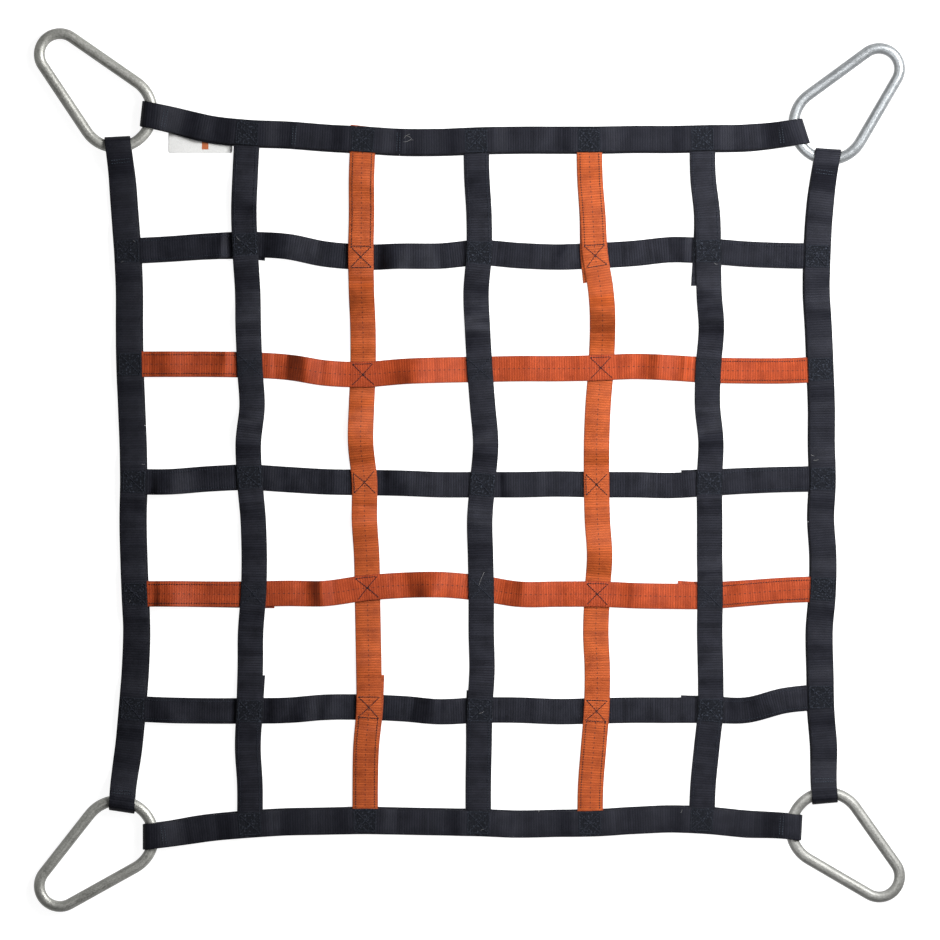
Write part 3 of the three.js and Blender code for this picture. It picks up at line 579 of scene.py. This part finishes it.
def black_finish(name, contrast):
    """The weave in two shades of blue black, with painted shade at the edges, greyer and duller where it
    is sewn, and painted glints there as pale specks."""
    material, tree, shader = new_material(name)
    yarns = put_weave(tree)
    edge = math_node(tree, "MULTIPLY", yarns["EdgeShade"], EDGE_SHADE_SHARE)
    sewn = math_node(tree, "MULTIPLY", yarns["Sewn"], SEWN_SHARE)
    shade = mix_colour(tree, yarn_shade(tree, yarns, contrast), BLACK_DARK, BLACK_LIGHT)
    shade = mix_colour(tree, edge, shade, BLACK_EDGE_SHADE)
    shade = mix_colour(tree, sewn, shade, BLACK_SEWN)
    shade = mix_colour(tree, yarns["PaintedGlint"], shade, BLACK_GLINT)
    tree.links.new(shade, shader.inputs["Base Color"])
    rough = math_node(tree, "MULTIPLY_ADD", yarns["Sewn"], SEWN_ROUGHER, BLACK_ROUGH)
    tree.links.new(rough, shader.inputs["Roughness"])
    shader.inputs["Specular IOR Level"].default_value = 0.1
    shader.inputs["Specular Tint"].default_value = (0.88, 0.9, 1, 1)
    shader.inputs["Sheen Weight"].default_value = 0.01
    shader.inputs["Sheen Roughness"].default_value = 0.4
    set_bump(tree, shader, yarns["Height"], YARN_BUMP, YARN_DEPTH)
    return material


black_web = black_finish("black_webbing", BLACK_CONTRAST)

# Orange webbing has a dark yarn woven along its middle, which shows as a row of dashes. The straps
# from side to side are deeper and redder than the others.
DASH_PITCH, DASH_SHARE, DASH_HALF = 6.8, 0.42, 0.62
DASH_COLOUR, DASH_STRENGTH = (0.045, 0.011, 0.007), 0.8
# Dark red painted shade on the rounded edges
ORANGE_EDGE_SHADE = (0.09, 0.009, 0.003)
ORANGE_CONTRAST = 1.25


def orange_finish(name, dark, light):
    """The weave in two shades of orange, with painted shade at the edges, and a dash where the place
    across is near the middle and the place along is in the first part of a pitch."""
    material, tree, shader = new_material(name)
    yarns = put_weave(tree)
    along, across = two_parts(tree, place_on_web(tree))
    middle = math_node(tree, "LESS_THAN", math_node(tree, "ABSOLUTE", across), DASH_HALF * MM)
    share = math_node(tree, "FRACT", math_node(tree, "MULTIPLY", along, 1 / (DASH_PITCH * MM)))
    dash = math_node(tree, "MULTIPLY", middle, math_node(tree, "LESS_THAN", share, DASH_SHARE))
    edge = math_node(tree, "MULTIPLY", yarns["EdgeShade"], EDGE_SHADE_SHARE)
    shade = mix_colour(tree, yarn_shade(tree, yarns, ORANGE_CONTRAST), dark, light)
    shade = mix_colour(tree, edge, shade, ORANGE_EDGE_SHADE)
    shade = mix_colour(tree, math_node(tree, "MULTIPLY", dash, DASH_STRENGTH), shade, DASH_COLOUR)
    tree.links.new(shade, shader.inputs["Base Color"])
    shader.inputs["Roughness"].default_value = 0.6
    shader.inputs["Specular IOR Level"].default_value = 0.14
    shader.inputs["Sheen Weight"].default_value = 0.02
    shader.inputs["Sheen Roughness"].default_value = 0.4
    set_bump(tree, shader, yarns["Height"], YARN_BUMP, YARN_DEPTH)
    return material


orange_web = orange_finish("orange_webbing", (0.115, 0.0155, 0.001), (0.345, 0.068, 0.013))
deep_orange_web = orange_finish("deep_orange_webbing", (0.105, 0.0105, 0.0006), (0.315, 0.048, 0.0105))


def lies_over(across, down):
    """Only an orange strap from side to side is on top, and only of an orange one."""
    return across.get("finish") == down.get("finish") == "orange"


# Layer of a strap from side to side at each strap that it meets: on its fold at a border, on its
# own tail next to that, and elsewhere on the floor
ACROSS_LAYERS = [2, 1, 0, 0, 0, 1, 2]
for strap in ACROSS[1:LAST]:
    layers = [layer + lies_over(strap, down) for layer, down in zip(ACROSS_LAYERS, DOWN)]
    piece = webbing(strap, inner_route(strap, (DOWN[0], DOWN[LAST]), layers, tail_layer=0))
    piece.data.materials.append(deep_orange_web if strap["finish"] == "orange" else black_web)

# Straps from top to bottom: five lengths of the same webbing, laid over the ones from side to
# side, and under them where orange crosses orange. Where a crossing also holds the tails of both
# straps, four layers lie on each other.
for strap, under in zip(DOWN[1:LAST], ACROSS_LAYERS[1:LAST]):
    layers = [under if lies_over(across, strap) else under + 1 + (k in (1, LAST - 1))
              for k, across in enumerate(ACROSS)]
    layers[0] = layers[LAST] = ACROSS_LAYERS[0]
    piece = webbing(strap, inner_route(strap, (ACROSS[0], ACROSS[LAST]), layers, tail_layer=under + 1))
    piece.data.materials.append(orange_web if strap["finish"] == "orange" else black_web)

# Rings: four pear-shaped lifting rings of 15 mm round steel bar, bent, welded shut and zinc
# coated. Each lies through the eyes of two borders, its tip on the floor.
BAR = 15.0
EYE_GAP = 1.3
TIP_RADIUS, BASE_RADIUS = 28.0, 48.5
RINGS = {
    "top_left": dict(x=-557.5, y=566, turn=-45.5, reach=110),
    "top_right": dict(x=557.5, y=546, turn=-132, reach=101),
    "bottom_left": dict(x=-557.5, y=-566, turn=40.5, reach=104),
    "bottom_right": dict(x=557.5, y=-553, turn=137.5, reach=97),
}
BAR_HEIGHT = WEB_THICK + EYE_GAP + BAR / 2
HELD_AT = BASE_RADIUS * np.sqrt(0.5)
RING_AROUND, RING_STEP = 28, 2.5
TIP_POINTS, BASE_POINTS, LEG_POINTS = 90, 160, 60


def ring(corner, row):
    """Round section carried along a pear: an arc at the tip, one at the base and two straight
    legs that touch both, evenly by length. It is leant from its tip on the floor up to the height
    at which the eyes hold the base, and turned into place."""
    reach = row["reach"]
    lean = np.arcsin((BASE_RADIUS - TIP_RADIUS) / reach)
    start = np.pi / 2 + lean
    tip = np.linspace(start, 2 * np.pi - start, TIP_POINTS)
    base = np.linspace(-start, start, BASE_POINTS)
    legs = np.linspace(0, 1, LEG_POINTS)[1:-1]
    ends = np.stack([np.cos([-start, start]), np.sin([-start, start])], 1)
    low, high = (TIP_RADIUS * e + (BASE_RADIUS - TIP_RADIUS) * legs[:, None] * e
                 + legs[:, None] * [reach, 0] for e in ends)
    path = np.concatenate([
        TIP_RADIUS * np.stack([np.cos(tip), np.sin(tip)], 1), low,
        [reach, 0] + BASE_RADIUS * np.stack([np.cos(base), np.sin(base)], 1), high[::-1]])
    facing = np.concatenate([tip, np.full(len(legs), -start), base, np.full(len(legs), start)])
    loop = np.concatenate([path, path[:1]])
    length = np.concatenate([[0], np.cumsum(np.hypot(*np.diff(loop, axis=0).T))])
    at = np.linspace(0, length[-1], int(length[-1] / RING_STEP), endpoint=False)
    px, py = (np.interp(at, length, column) for column in loop.T)
    cos, sin = (np.interp(at, length, np.append(f(facing), f(facing[0]))) for f in (np.cos, np.sin))
    size = np.hypot(cos, sin)
    angle = np.linspace(0, 2 * np.pi, RING_AROUND, endpoint=False)
    inward = BAR / 2 * np.cos(angle)
    a = px[:, None] - inward * (cos / size)[:, None]
    b = py[:, None] - inward * (sin / size)[:, None]
    up = np.broadcast_to(BAR / 2 * np.sin(angle), a.shape)
    tilt = np.arctan((BAR_HEIGHT - BAR / 2) / (reach + HELD_AT + TIP_RADIUS))
    lift = BAR / 2 + (TIP_RADIUS + BAR / 2) * np.tan(tilt)
    flat = a * np.cos(tilt) - up * np.sin(tilt)
    height = a * np.sin(tilt) + up * np.cos(tilt) + lift
    turn = np.radians(row["turn"])
    x = row["x"] + flat * np.cos(turn) - b * np.sin(turn)
    y = row["y"] + flat * np.sin(turn) + b * np.cos(turn)
    uv = np.stack(np.broadcast_arrays(at[:, None] * MM, angle * BAR / 2 * MM), -1)
    piece = put_grid(f"ring_{corner}_bar", np.stack([x, y, height], -1), uv, closed=True)
    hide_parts(f"ring_{corner}")
    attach(piece, "root")
    return piece


# Scale and detail of the zinc's clouds, spangle and streaks along the bar, and how much each one adds
ZINC_CLOUD, SPANGLE, MARKS = (60.0, 4.0), (420.0, 3.0), (1.0, 3.0)
MARKS_STRETCH = (14, 520, 1)
ZINC_BASE, ZINC_CLOUD_SHARE, SPANGLE_SHARE, MARKS_SHARE = -0.9, 0.7, 1.2, 0.9
# Haze from the spangle, and the share of the dark tone in the painted shade where the bar turns away
SPANGLE_HAZE, TURNED_SHADE_SHARE = 0.3, 0.7
ZINC_BUMP, ZINC_DEPTH = 0.5, 0.4


def zinc(name, dark, light, metal, rough):
    """Dull zinc: cloudy patches and finer spangle from noise, faint streaks along the bar, and painted
    shade, a darker tone where the surface turns away from the view."""
    material, tree, shader = new_material(name)
    place = tree.nodes.new("ShaderNodeTexCoord").outputs["Object"]
    stretch = tree.nodes.new("ShaderNodeMapping")
    stretch.inputs["Scale"].default_value = MARKS_STRETCH
    tree.links.new(place_on_web(tree), stretch.inputs[0])
    cloud = noise_node(tree, place, *ZINC_CLOUD)
    spangle = noise_node(tree, place, *SPANGLE)
    marks = noise_node(tree, stretch.outputs[0], *MARKS)
    blend = math_node(tree, "MULTIPLY_ADD", cloud, ZINC_CLOUD_SHARE, ZINC_BASE)
    blend = math_node(tree, "MULTIPLY_ADD", spangle, SPANGLE_SHARE, blend)
    blend = math_node(tree, "MULTIPLY_ADD", marks, MARKS_SHARE, blend)
    # Painted shade on the bar's sides, where the surface turns away from the view
    facing = tree.nodes.new("ShaderNodeLayerWeight")
    facing.inputs["Blend"].default_value = 0.45
    tone = mix_colour(tree, blend, dark, light)
    painted_turned_shade = tuple(TURNED_SHADE_SHARE * value for value in dark)
    tone = mix_colour(tree, facing.outputs["Facing"], tone, painted_turned_shade)
    tree.links.new(tone, shader.inputs["Base Color"])
    shader.inputs["Metallic"].default_value = metal
    haze = math_node(tree, "MULTIPLY_ADD", spangle, SPANGLE_HAZE, rough)
    tree.links.new(haze, shader.inputs["Roughness"])
    set_bump(tree, shader, blend, ZINC_BUMP, ZINC_DEPTH)
    return material


# One zinc in three copies: the two right rings, nearer the key box, are given darker tones, painted shade;
# the top right one is also bluer and glossier, the bottom right one rougher with less metal
dull_zinc = zinc("dull_zinc", (0.14, 0.14, 0.127), (0.42, 0.42, 0.392), metal=0.5, rough=0.32)
glossy_shaded_zinc = zinc("glossy_shaded_zinc", (0.122, 0.129, 0.134), (0.292, 0.308, 0.32), metal=0.6, rough=0.24)
shaded_zinc = zinc("shaded_zinc", (0.105, 0.105, 0.097), (0.27, 0.27, 0.256), metal=0.42, rough=0.36)
RING_FINISH = dict(top_left=dull_zinc, top_right=glossy_shaded_zinc,
                   bottom_left=dull_zinc, bottom_right=shaded_zinc)
for corner, row in RINGS.items():
    ring(corner, row).data.materials.append(RING_FINISH[corner])

# Borders: four straps of black webbing laid double, one on each side. Each goes through the ring
# at either end, so that it has an eye there, covers the folds of the inner straps and is sewn
# through all of them. Its own two ends butt on the back.
SHIFT_RUN, JOINT_GAP, EYE_RAMP = 60.0, 0.3, 42.0
EYE_RADIUS = BAR / 2 + EYE_GAP + WEB_THICK / 2
CELL_BACK, CELL_FRONT = 0, 1
BORDER_CONTRAST = 1.3
border_web = black_finish("black_border_webbing", BORDER_CONTRAST)


def bar_in_eye(strap, row, way):
    """Where the ring's bar lies in the eye, along the strap: the circles of the base's inner and
    outer edge are cut by the strap's edges and middle, and the bar's slant is taken out."""
    turn = np.radians(row["turn"])
    x, y = row["x"] + row["reach"] * np.cos(turn), row["y"] + row["reach"] * np.sin(turn)
    centre_s, centre_v = (-y, x) if strap["down"] else (x, y)
    w = np.array([-HALF_WIDTH, 0, HALF_WIDTH])

    def edge(radius):
        """Where a circle about the base's centre cuts the strap's edges and middle."""
        s = centre_s + way * radius
        offset = strap["path"](s) + w - centre_v
        slope = slope_at(strap["path"], s)
        return way * centre_s + np.sqrt(radius ** 2 - offset ** 2) + way * w * slope

    inner, outer = edge(BASE_RADIUS - BAR / 2), edge(BASE_RADIUS + BAR / 2)
    skew = (inner[2] - inner[0]) / WEB_WIDTH
    half_bar = BAR / 2 * np.hypot(1, skew)
    near = way * (np.max(outer - skew * w) - half_bar / 2)
    far = way * (np.min(inner - skew * w) + half_bar)
    return near, far, way * skew


def border_route(strap, rings):
    """Rows of s, z, aside and skew: half the back, an eye, the front, an eye, the rest of the back."""
    at, lift, side = strap["crossings"], strap["lift"], strap["outward"] * BORDER_SHIFT
    (near0, far0, skew0), (near1, far1, skew1) = (
        bar_in_eye(strap, row, way) for row, way in zip(rings, (1, -1)))
    foot = CROSSING_HALF + RAMP

    def lay(s, face):
        """Aside, front and back to opposite sides, and skew, the bar's slant dying away from an eye."""
        clear = np.minimum(s - near0, near1 - s)
        skew = np.where(s < strap["joint"], skew0, skew1) * (1 - ease(clear / EYE_RAMP))
        return face * side * ease(clear / SHIFT_RUN), skew

    def layer(eye_height, crossing_layer, cell_layer):
        """Stops from eye to eye: level at each crossing and arched in each cell."""
        stops = [(far0, eye_height), (near0, eye_height)]
        for i in range(LAST):
            start = near0 + EYE_RAMP if i == 0 else at[i] + foot
            end = near1 - EYE_RAMP if i == LAST - 1 else at[i + 1] - foot
            stops += arch(start, end, cell_layer, lift[i])
            if i < LAST - 1:
                z = layer_height(crossing_layer)
                stops += [(at[i + 1] - CROSSING_HALF, z), (at[i + 1] + CROSSING_HALF, z)]
        return stops + [(near1, eye_height), (far1, eye_height)]

    front = eased(layer(BAR_HEIGHT + EYE_RADIUS, FRONT_LAYER, CELL_FRONT), lambda s: lay(s, 1))
    back = eased(layer(BAR_HEIGHT - EYE_RADIUS, BACK_LAYER, CELL_BACK), lambda s: lay(s, -1))
    strap["top"] = front[:, :2]
    strap["slack"] = front[:, 0], front[:, 1] - layer_height(CELL_FRONT)
    cuts = strap["joint"] - JOINT_GAP / 2, strap["joint"] + JOINT_GAP / 2
    ends = np.stack([np.interp(cuts, back[:, 0], column) for column in back.T], 1)
    first = np.concatenate([back[back[:, 0] < cuts[0]], ends[:1]])
    second = np.concatenate([ends[1:], back[back[:, 0] > cuts[1]]])
    turns = [half_turn(far, BAR_HEIGHT, EYE_RADIUS, np.hypot(1, skew), skew, way)
             for far, skew, way in ((far0, skew0, 1), (far1, skew1, -1))]
    return np.concatenate([first[::-1], turns[0], front, turns[1][::-1], second[::-1]])


for strap, ends in ((ACROSS[0], ("top_left", "top_right")),
                    (ACROSS[LAST], ("bottom_left", "bottom_right")),
                    (DOWN[0], ("top_left", "bottom_left")),
                    (DOWN[LAST], ("top_right", "bottom_right"))):
    piece = webbing(strap, border_route(strap, [RINGS[end] for end in ends]))
    piece.data.materials.append(border_web)

# Stitching: lockstitch in bonded thread through all layers. Each crossing has a box with a cross
# in it, each doubled end of an inner strap a line along either edge, and each eye a double line
# across the border beside the ring.
THREAD, STITCH_PITCH = 1.15, 3.4
STITCH_AROUND = 6
STITCH_AT = np.array([0, 0.2, 0.5, 0.8, 1.0])
STITCH_RISE = np.array([-0.3, 0.15, 0.3, 0.15, -0.3])
STITCH_SWELL = np.array([0.35, 0.9, 1.0, 0.9, 0.35])


def top_face(strap, s, w):
    """Points on the strap's upper face: its run's height, its creases and half its thickness."""
    x, y = on_strap(strap, s, w)
    z = np.interp(s, strap["top"][:, 0], strap["top"][:, 1]) + crease_height(strap, s, w)
    return np.stack([x, y, z + WEB_THICK / 2], 1)


def seam(strap, corners, fill):
    """Both ends of each stitch along a line of corners (s, w) on a strap, a pitch apart, each as
    long as the fill of a pitch, on the strap's upper face."""
    corners = np.array(corners, float)
    leg = np.hypot(*np.diff(corners, axis=0).T)
    length = np.concatenate([[0], np.cumsum(leg)])
    at = np.arange(STITCH_PITCH / 2, length[-1], STITCH_PITCH)
    ends = []
    for half in (-fill * STITCH_PITCH / 2, fill * STITCH_PITCH / 2):
        place = np.clip(at + half, 0, length[-1])
        s, w = (np.interp(place, length, column) for column in corners.T)
        ends.append(top_face(strap, s, w))
    return np.stack(ends, 1)


def stitch_paths(stitches):
    """A path of five points for each stitch: straight in plan, rising a little over the webbing in
    the middle and dipping into it at both ends."""
    rise = np.stack([0 * STITCH_AT, 0 * STITCH_AT, STITCH_RISE * THREAD], 1)
    start, end = stitches[:, :1], stitches[:, 1:]
    return start + (end - start) * STITCH_AT[:, None] + rise


def thread_mesh(name, paths, thick):
    """Round thread along every path, as thick at each of its points as given, closed at the ends."""
    way = np.gradient(paths, axis=1)
    way /= np.linalg.norm(way, axis=2, keepdims=True)
    side = np.cross([0, 0, 1.0], way)
    side /= np.linalg.norm(side, axis=2, keepdims=True)
    up = np.cross(way, side)
    angle = np.linspace(0, 2 * np.pi, STITCH_AROUND, endpoint=False)
    reach = thick[:, None, None] / 2
    points = (paths[:, :, None] + side[:, :, None] * np.cos(angle)[:, None] * reach
              + up[:, :, None] * np.sin(angle)[:, None] * reach)
    count, rows, around = points.shape[:3]
    one = np.arange(rows - 1)[:, None] * around
    k = np.arange(around)
    beside = (k + 1) % around
    quads = np.stack([one + k, one + beside, one + around + beside, one + around + k], -1).reshape(-1, 4)
    first = np.arange(count)[:, None, None] * rows * around
    faces = (first + quads).reshape(-1, 4).tolist()
    faces += (first[:, 0] + k[::-1]).tolist()
    faces += (first[:, 0] + (rows - 1) * around + k).tolist()
    piece = put_mesh(name, points, faces, True)
    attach(piece, "root")
    return piece


TWIST = (1400.0, 1.0)
THREAD_BUMP, THREAD_DEPTH = 0.4, 0.2


def thread_finish(name, dark, light):
    """Twisted thread: two shades mixed by a fine noise, which also roughens it."""
    material, tree, shader = new_material(name)
    twist = noise_node(tree, tree.nodes.new("ShaderNodeTexCoord").outputs["Object"], *TWIST)
    tree.links.new(mix_colour(tree, twist, dark, light), shader.inputs["Base Color"])
    shader.inputs["Roughness"].default_value = 0.7
    shader.inputs["Specular IOR Level"].default_value = 0.08
    set_bump(tree, shader, twist, THREAD_BUMP, THREAD_DEPTH)
    return material


navy_thread = thread_finish("navy_thread", (0.004, 0.004, 0.007), (0.018, 0.016, 0.022))
slate_thread = thread_finish("slate_thread", (0.0012, 0.0016, 0.0026), (0.024, 0.028, 0.039))
blue_thread = thread_finish("blue_thread", (0.005, 0.007, 0.01), (0.044, 0.055, 0.071))

# Sides and diagonals of a box, to the right and up from its middle. On orange only the sides that
# stand out are made, by the strap from side to side that is crossed, and on black over orange the
# cross alone: the other sides sink into the ribs.
BOX_HALF, BOX_FILL = 14.3, 1.0
SIDES = dict(top=[(-1, 1), (1, 1)], right=[(1, 1), (1, -1)],
             bottom=[(1, -1), (-1, -1)], left=[(-1, -1), (-1, 1)])
CROSS = [[(-1, -1), (1, 1)], [(-1, 1), (1, -1)]]
PLAIN_SIDES = {1: ("top", "bottom"), 2: ("top",), 3: ("left",), 4: ("top",), 5: ("top", "bottom")}
on_orange, on_black, on_eyes = [], [], []
for i, down in enumerate(DOWN):
    for k, across in enumerate(ACROSS):
        corner_of_net = i in (0, LAST) and k in (0, LAST)
        if corner_of_net:
            continue
        top = across if k in (0, LAST) or lies_over(across, down) else down
        at = top["crossings"][k if top["down"] else i]
        store, sides = on_black, SIDES
        if top.get("finish") == "orange":
            store, sides = on_orange, PLAIN_SIDES[k]
        elif over_orange(top, across):
            sides = ()
        for line in CROSS + [SIDES[side] for side in sides]:
            x, y = BOX_HALF * np.array(line).T
            corners = np.stack([at - y, x] if top["down"] else [at + x, y], 1)
            store.append(seam(top, corners, BOX_FILL))

# Lines along both edges of the doubled ends, and double lines across the borders
EDGE_LINE, EDGE_FILL, EYE_LINE_HALF = 12.8, 0.72, 2.0
for strap in ACROSS[1:LAST] + DOWN[1:LAST]:
    at = strap["crossings"]
    store = on_orange if strap["finish"] == "orange" else on_black
    doubled = ((at[0] + HALF_WIDTH, at[1] - BOX_HALF),
               (at[LAST - 1] + BOX_HALF, at[LAST] - HALF_WIDTH))
    for start, end in doubled:
        store += [seam(strap, [(start, w), (end, w)], EDGE_FILL) for w in (-EDGE_LINE, EDGE_LINE)]
EYE_LINES = {"border_top": (-415, 424, -239, -97), "border_bottom": (-416, 424),
             "border_left": (-420, 438), "border_right": (-405, 422)}
for strap in (ACROSS[0], ACROSS[LAST], DOWN[0], DOWN[LAST]):
    for middle in EYE_LINES[strap["name"]]:
        on_eyes += [seam(strap, [(s, -EDGE_LINE), (s, EDGE_LINE)], EDGE_FILL)
                    for s in (middle - EYE_LINE_HALF, middle + EYE_LINE_HALF)]
for name, store, finish in (("stitching_on_orange", on_orange, navy_thread),
                            ("stitching_on_black", on_black, slate_thread),
                            ("stitching_beside_eyes", on_eyes, blue_thread)):
    piece = thread_mesh(name, stitch_paths(np.concatenate(store)), THREAD * STITCH_SWELL)
    piece.data.materials.append(finish)

# Loose thread ends: pale ends of sewing thread left at some crossings, and a small tuft on the
# top border. Each is a thin round thread that bends a little on top of the webbing.
LOOSE_THICK, LOOSE_TAPER, LOOSE_LIFT, LOOSE_FOOT = 0.55, 0.6, 0.45, 0.6
LOOSE_POINTS = 9
# strap, place along and across it, length, heading and bend
LOOSE = [("border_top", -92, 1, 15, 20, 60), ("border_top", -90, 4, 12, 40, -50),
         ("border_top", -80, 6, 9, 160, 50), ("border_top", -84, 2, 8, 10, -40),
         ("border_right", -14, -13, 9, 95, 40), ("border_right", -22, -15, 6, 60, 30),
         ("strap_down_2", -320, -11, 10, 35, 60), ("strap_down_4", 137, 6, 24, -23, 18),
         ("strap_down_4", 331, -2, 9, 110, 50), ("border_bottom", 287, 8, 6, 70, 30),
         ("border_left", -312, 9, 4, 40, 30), ("border_left", -283, -10, 4, 120, 40),
         ("border_left", -8, 11, 5, 80, 30), ("border_left", 180, -9, 4, 150, 40),
         ("strap_down_6", -282, 8, 5, 60, 50), ("border_bottom", 20, -9, 5, 200, 40)]


def loose_path(strap, s, w, length, heading, bend):
    """Points over the strap's upper face: the heading turns evenly by the bend, in degrees, and
    the thread stands off the webbing by a sine, most in the middle."""
    u = np.linspace(0, 1, LOOSE_POINTS)
    turn = np.radians(heading + bend * (u - 0.5))
    s = s + length * np.cumsum(np.cos(turn)) / LOOSE_POINTS
    w = np.clip(w + length * np.cumsum(np.sin(turn)) / LOOSE_POINTS, -HALF_WIDTH, HALF_WIDTH)
    points = top_face(strap, s, w)
    points[:, 2] += LOOSE_LIFT * (LOOSE_FOOT + np.sin(np.pi * u))
    return points


pale_thread = thread_finish("pale_thread", (0.07, 0.07, 0.073), (0.19, 0.19, 0.19))
by_name = {strap["name"]: strap for strap in ACROSS + DOWN}
ends = np.stack([loose_path(by_name[name], *row) for name, *row in LOOSE])
piece = thread_mesh("loose_thread_ends", ends, LOOSE_THICK * np.linspace(1, LOOSE_TAPER, LOOSE_POINTS))
piece.data.materials.append(pale_thread)

# Tag: a small white label of coated cloth, its upper edge sewn behind the top border. It is
# left blank but for a plain orange bar.
TAG_LEFT, TAG_RIGHT, TAG_TOP, TAG_BOTTOM = -410.0, -323.0, 470.0, 432.0
TAG_THICK, TAG_CORNER = 0.35, 2.0
TAG_COLUMNS, TAG_ROWS = 86, 40
TAG_CLEAR, TAG_CURL, TAG_WAVE = 0.15, 0.5, 9
BAR_LEFT, BAR_RIGHT, BAR_BOTTOM, BAR_TOP = -364.5, -355.5, 436.5, 450.0
TAG_GRAIN = (700.0, 2.0)
TAG_DARK, TAG_LIGHT, BAR_COLOUR = (0.40, 0.40, 0.395), (0.56, 0.56, 0.55), (0.30, 0.075, 0.02)
TAG_BUMP, TAG_DEPTH = 0.3, 0.2


def tag_sheet():
    """A grid over the label, its lower corners drawn in to a round, its free edge curling up by the
    cube of the way down, more and less in turn along it."""
    u, v = np.meshgrid(np.linspace(0, 1, TAG_COLUMNS), np.linspace(0, 1, TAG_ROWS))
    x = TAG_LEFT + (TAG_RIGHT - TAG_LEFT) * u
    y = TAG_BOTTOM + (TAG_TOP - TAG_BOTTOM) * v
    from_side = np.minimum(x - TAG_LEFT, TAG_RIGHT - x)
    cut = np.clip(TAG_CORNER - from_side, 0, None)
    rise = TAG_CORNER - np.sqrt(np.clip(TAG_CORNER ** 2 - cut ** 2, 0, None))
    y = y + rise * (1 - v)
    z = TAG_CLEAR + TAG_CURL * (1 - v) ** 3 * (0.5 + 0.5 * np.sin(TAG_WAVE * u))
    i, j = np.meshgrid(np.arange(TAG_ROWS - 1), np.arange(TAG_COLUMNS - 1), indexing="ij")
    first = i * TAG_COLUMNS + j
    faces = np.stack([first, first + 1, first + TAG_COLUMNS + 1, first + TAG_COLUMNS], -1)
    piece = put_mesh("tag_label", np.stack([x, y, z], -1), faces.reshape(-1, 4).tolist(), True)
    wall = piece.modifiers.new("cloth", "SOLIDIFY")
    wall.thickness, wall.offset = TAG_THICK * MM, 1
    return piece


def between(tree, value, low, high):
    """1 where a length lies between the two given in millimetres, 0 elsewhere."""
    return math_node(tree, "MULTIPLY", math_node(tree, "GREATER_THAN", value, low * MM),
                     math_node(tree, "LESS_THAN", value, high * MM))


def tag_finish():
    """White cloth in two shades mixed by a fine noise, and the bar where both places are within it."""
    material, tree, shader = new_material("white_tag")
    place = tree.nodes.new("ShaderNodeTexCoord").outputs["Object"]
    x, y = two_parts(tree, place)
    bar = math_node(tree, "MULTIPLY", between(tree, x, BAR_LEFT, BAR_RIGHT),
                    between(tree, y, BAR_BOTTOM, BAR_TOP))
    grain = noise_node(tree, place, *TAG_GRAIN)
    cloth = mix_colour(tree, grain, TAG_DARK, TAG_LIGHT)
    tree.links.new(mix_colour(tree, bar, cloth, BAR_COLOUR), shader.inputs["Base Color"])
    shader.inputs["Roughness"].default_value = 0.5
    set_bump(tree, shader, grain, TAG_BUMP, TAG_DEPTH)
    return material


piece = tag_sheet()
piece.data.materials.append(tag_finish())
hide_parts("tag")
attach(piece, "root")

# Floor: a plain pale ground under the net, lit by three soft boxes and a faint even light. The
# camera is straight above, far off through a long lens.
FLOOR_HALF = 14000.0
PIXEL, PHOTO_SIDE, CAMERA_ASIDE = 1.362, 940, 0.5
LENS, SENSOR, FARTHEST = 300.0, 36.0, 100

scene = bpy.context.scene
floor_corners = FLOOR_HALF * np.array([(-1, -1, 0), (1, -1, 0), (1, 1, 0), (-1, 1, 0)])
floor = put_mesh("floor", floor_corners, [(0, 1, 2, 3)], False)
paper, _, shader = new_material("floor_paper")
shader.inputs["Base Color"].default_value = (0.3, 0.3, 0.3, 1)
shader.inputs["Roughness"].default_value = 0.9
shader.inputs["Specular IOR Level"].default_value = 0.0
shader.inputs["Emission Color"].default_value = (1, 1, 1, 1)
shader.inputs["Emission Strength"].default_value = 0.9
floor.data.materials.append(paper)

world = bpy.data.worlds.new("soft_light")
world.use_nodes = True
world.node_tree.nodes["Background"].inputs["Color"].default_value = (1, 1, 1, 1)
world.node_tree.nodes["Background"].inputs["Strength"].default_value = 0.12
scene.world = world


def soft_box(name, place, aim, size, spread, power):
    """An area light at a place, turned to face a point, its light spreading so many degrees."""
    light = bpy.data.lights.new(name, "AREA")
    light.shape = "RECTANGLE"
    light.size, light.size_y = size
    light.energy, light.spread = power, np.radians(spread)
    lamp = bpy.data.objects.new(name, light)
    lamp.location = place
    way = np.array(aim) - np.array(place)
    level = np.hypot(way[0], way[1])
    heading = np.arctan2(way[1], way[0]) - np.pi / 2 if level > 0 else 0
    lamp.rotation_euler = (np.arctan2(level, -way[2]), 0, heading)
    lamp.visible_camera = False
    scene.collection.objects.link(lamp)


soft_box("key_box", place=(1.7, 1.05, 1.5), aim=(0.1, -0.05, 0), size=(1.1, 1.1), spread=180, power=160.0)
soft_box("top_strip", place=(0.2, -0.05, 0.7), aim=(0.2, -0.05, 0), size=(0.4, 1.8), spread=140, power=5.5)
soft_box("left_box", place=(-6.0, 1.2, 3.2), aim=(0, 0, 0), size=(2.6, 2.6), spread=180, power=62.0)

lens = bpy.data.cameras.new("camera")
lens.lens, lens.sensor_width, lens.sensor_fit = LENS, SENSOR, "HORIZONTAL"
lens.clip_end = FARTHEST
camera = bpy.data.objects.new("camera", lens)
camera.location = (CAMERA_ASIDE * PIXEL * MM, 0, PHOTO_SIDE * PIXEL * MM * LENS / SENSOR)
scene.collection.objects.link(camera)
scene.camera = camera
scene.view_settings.view_transform = "Standard"
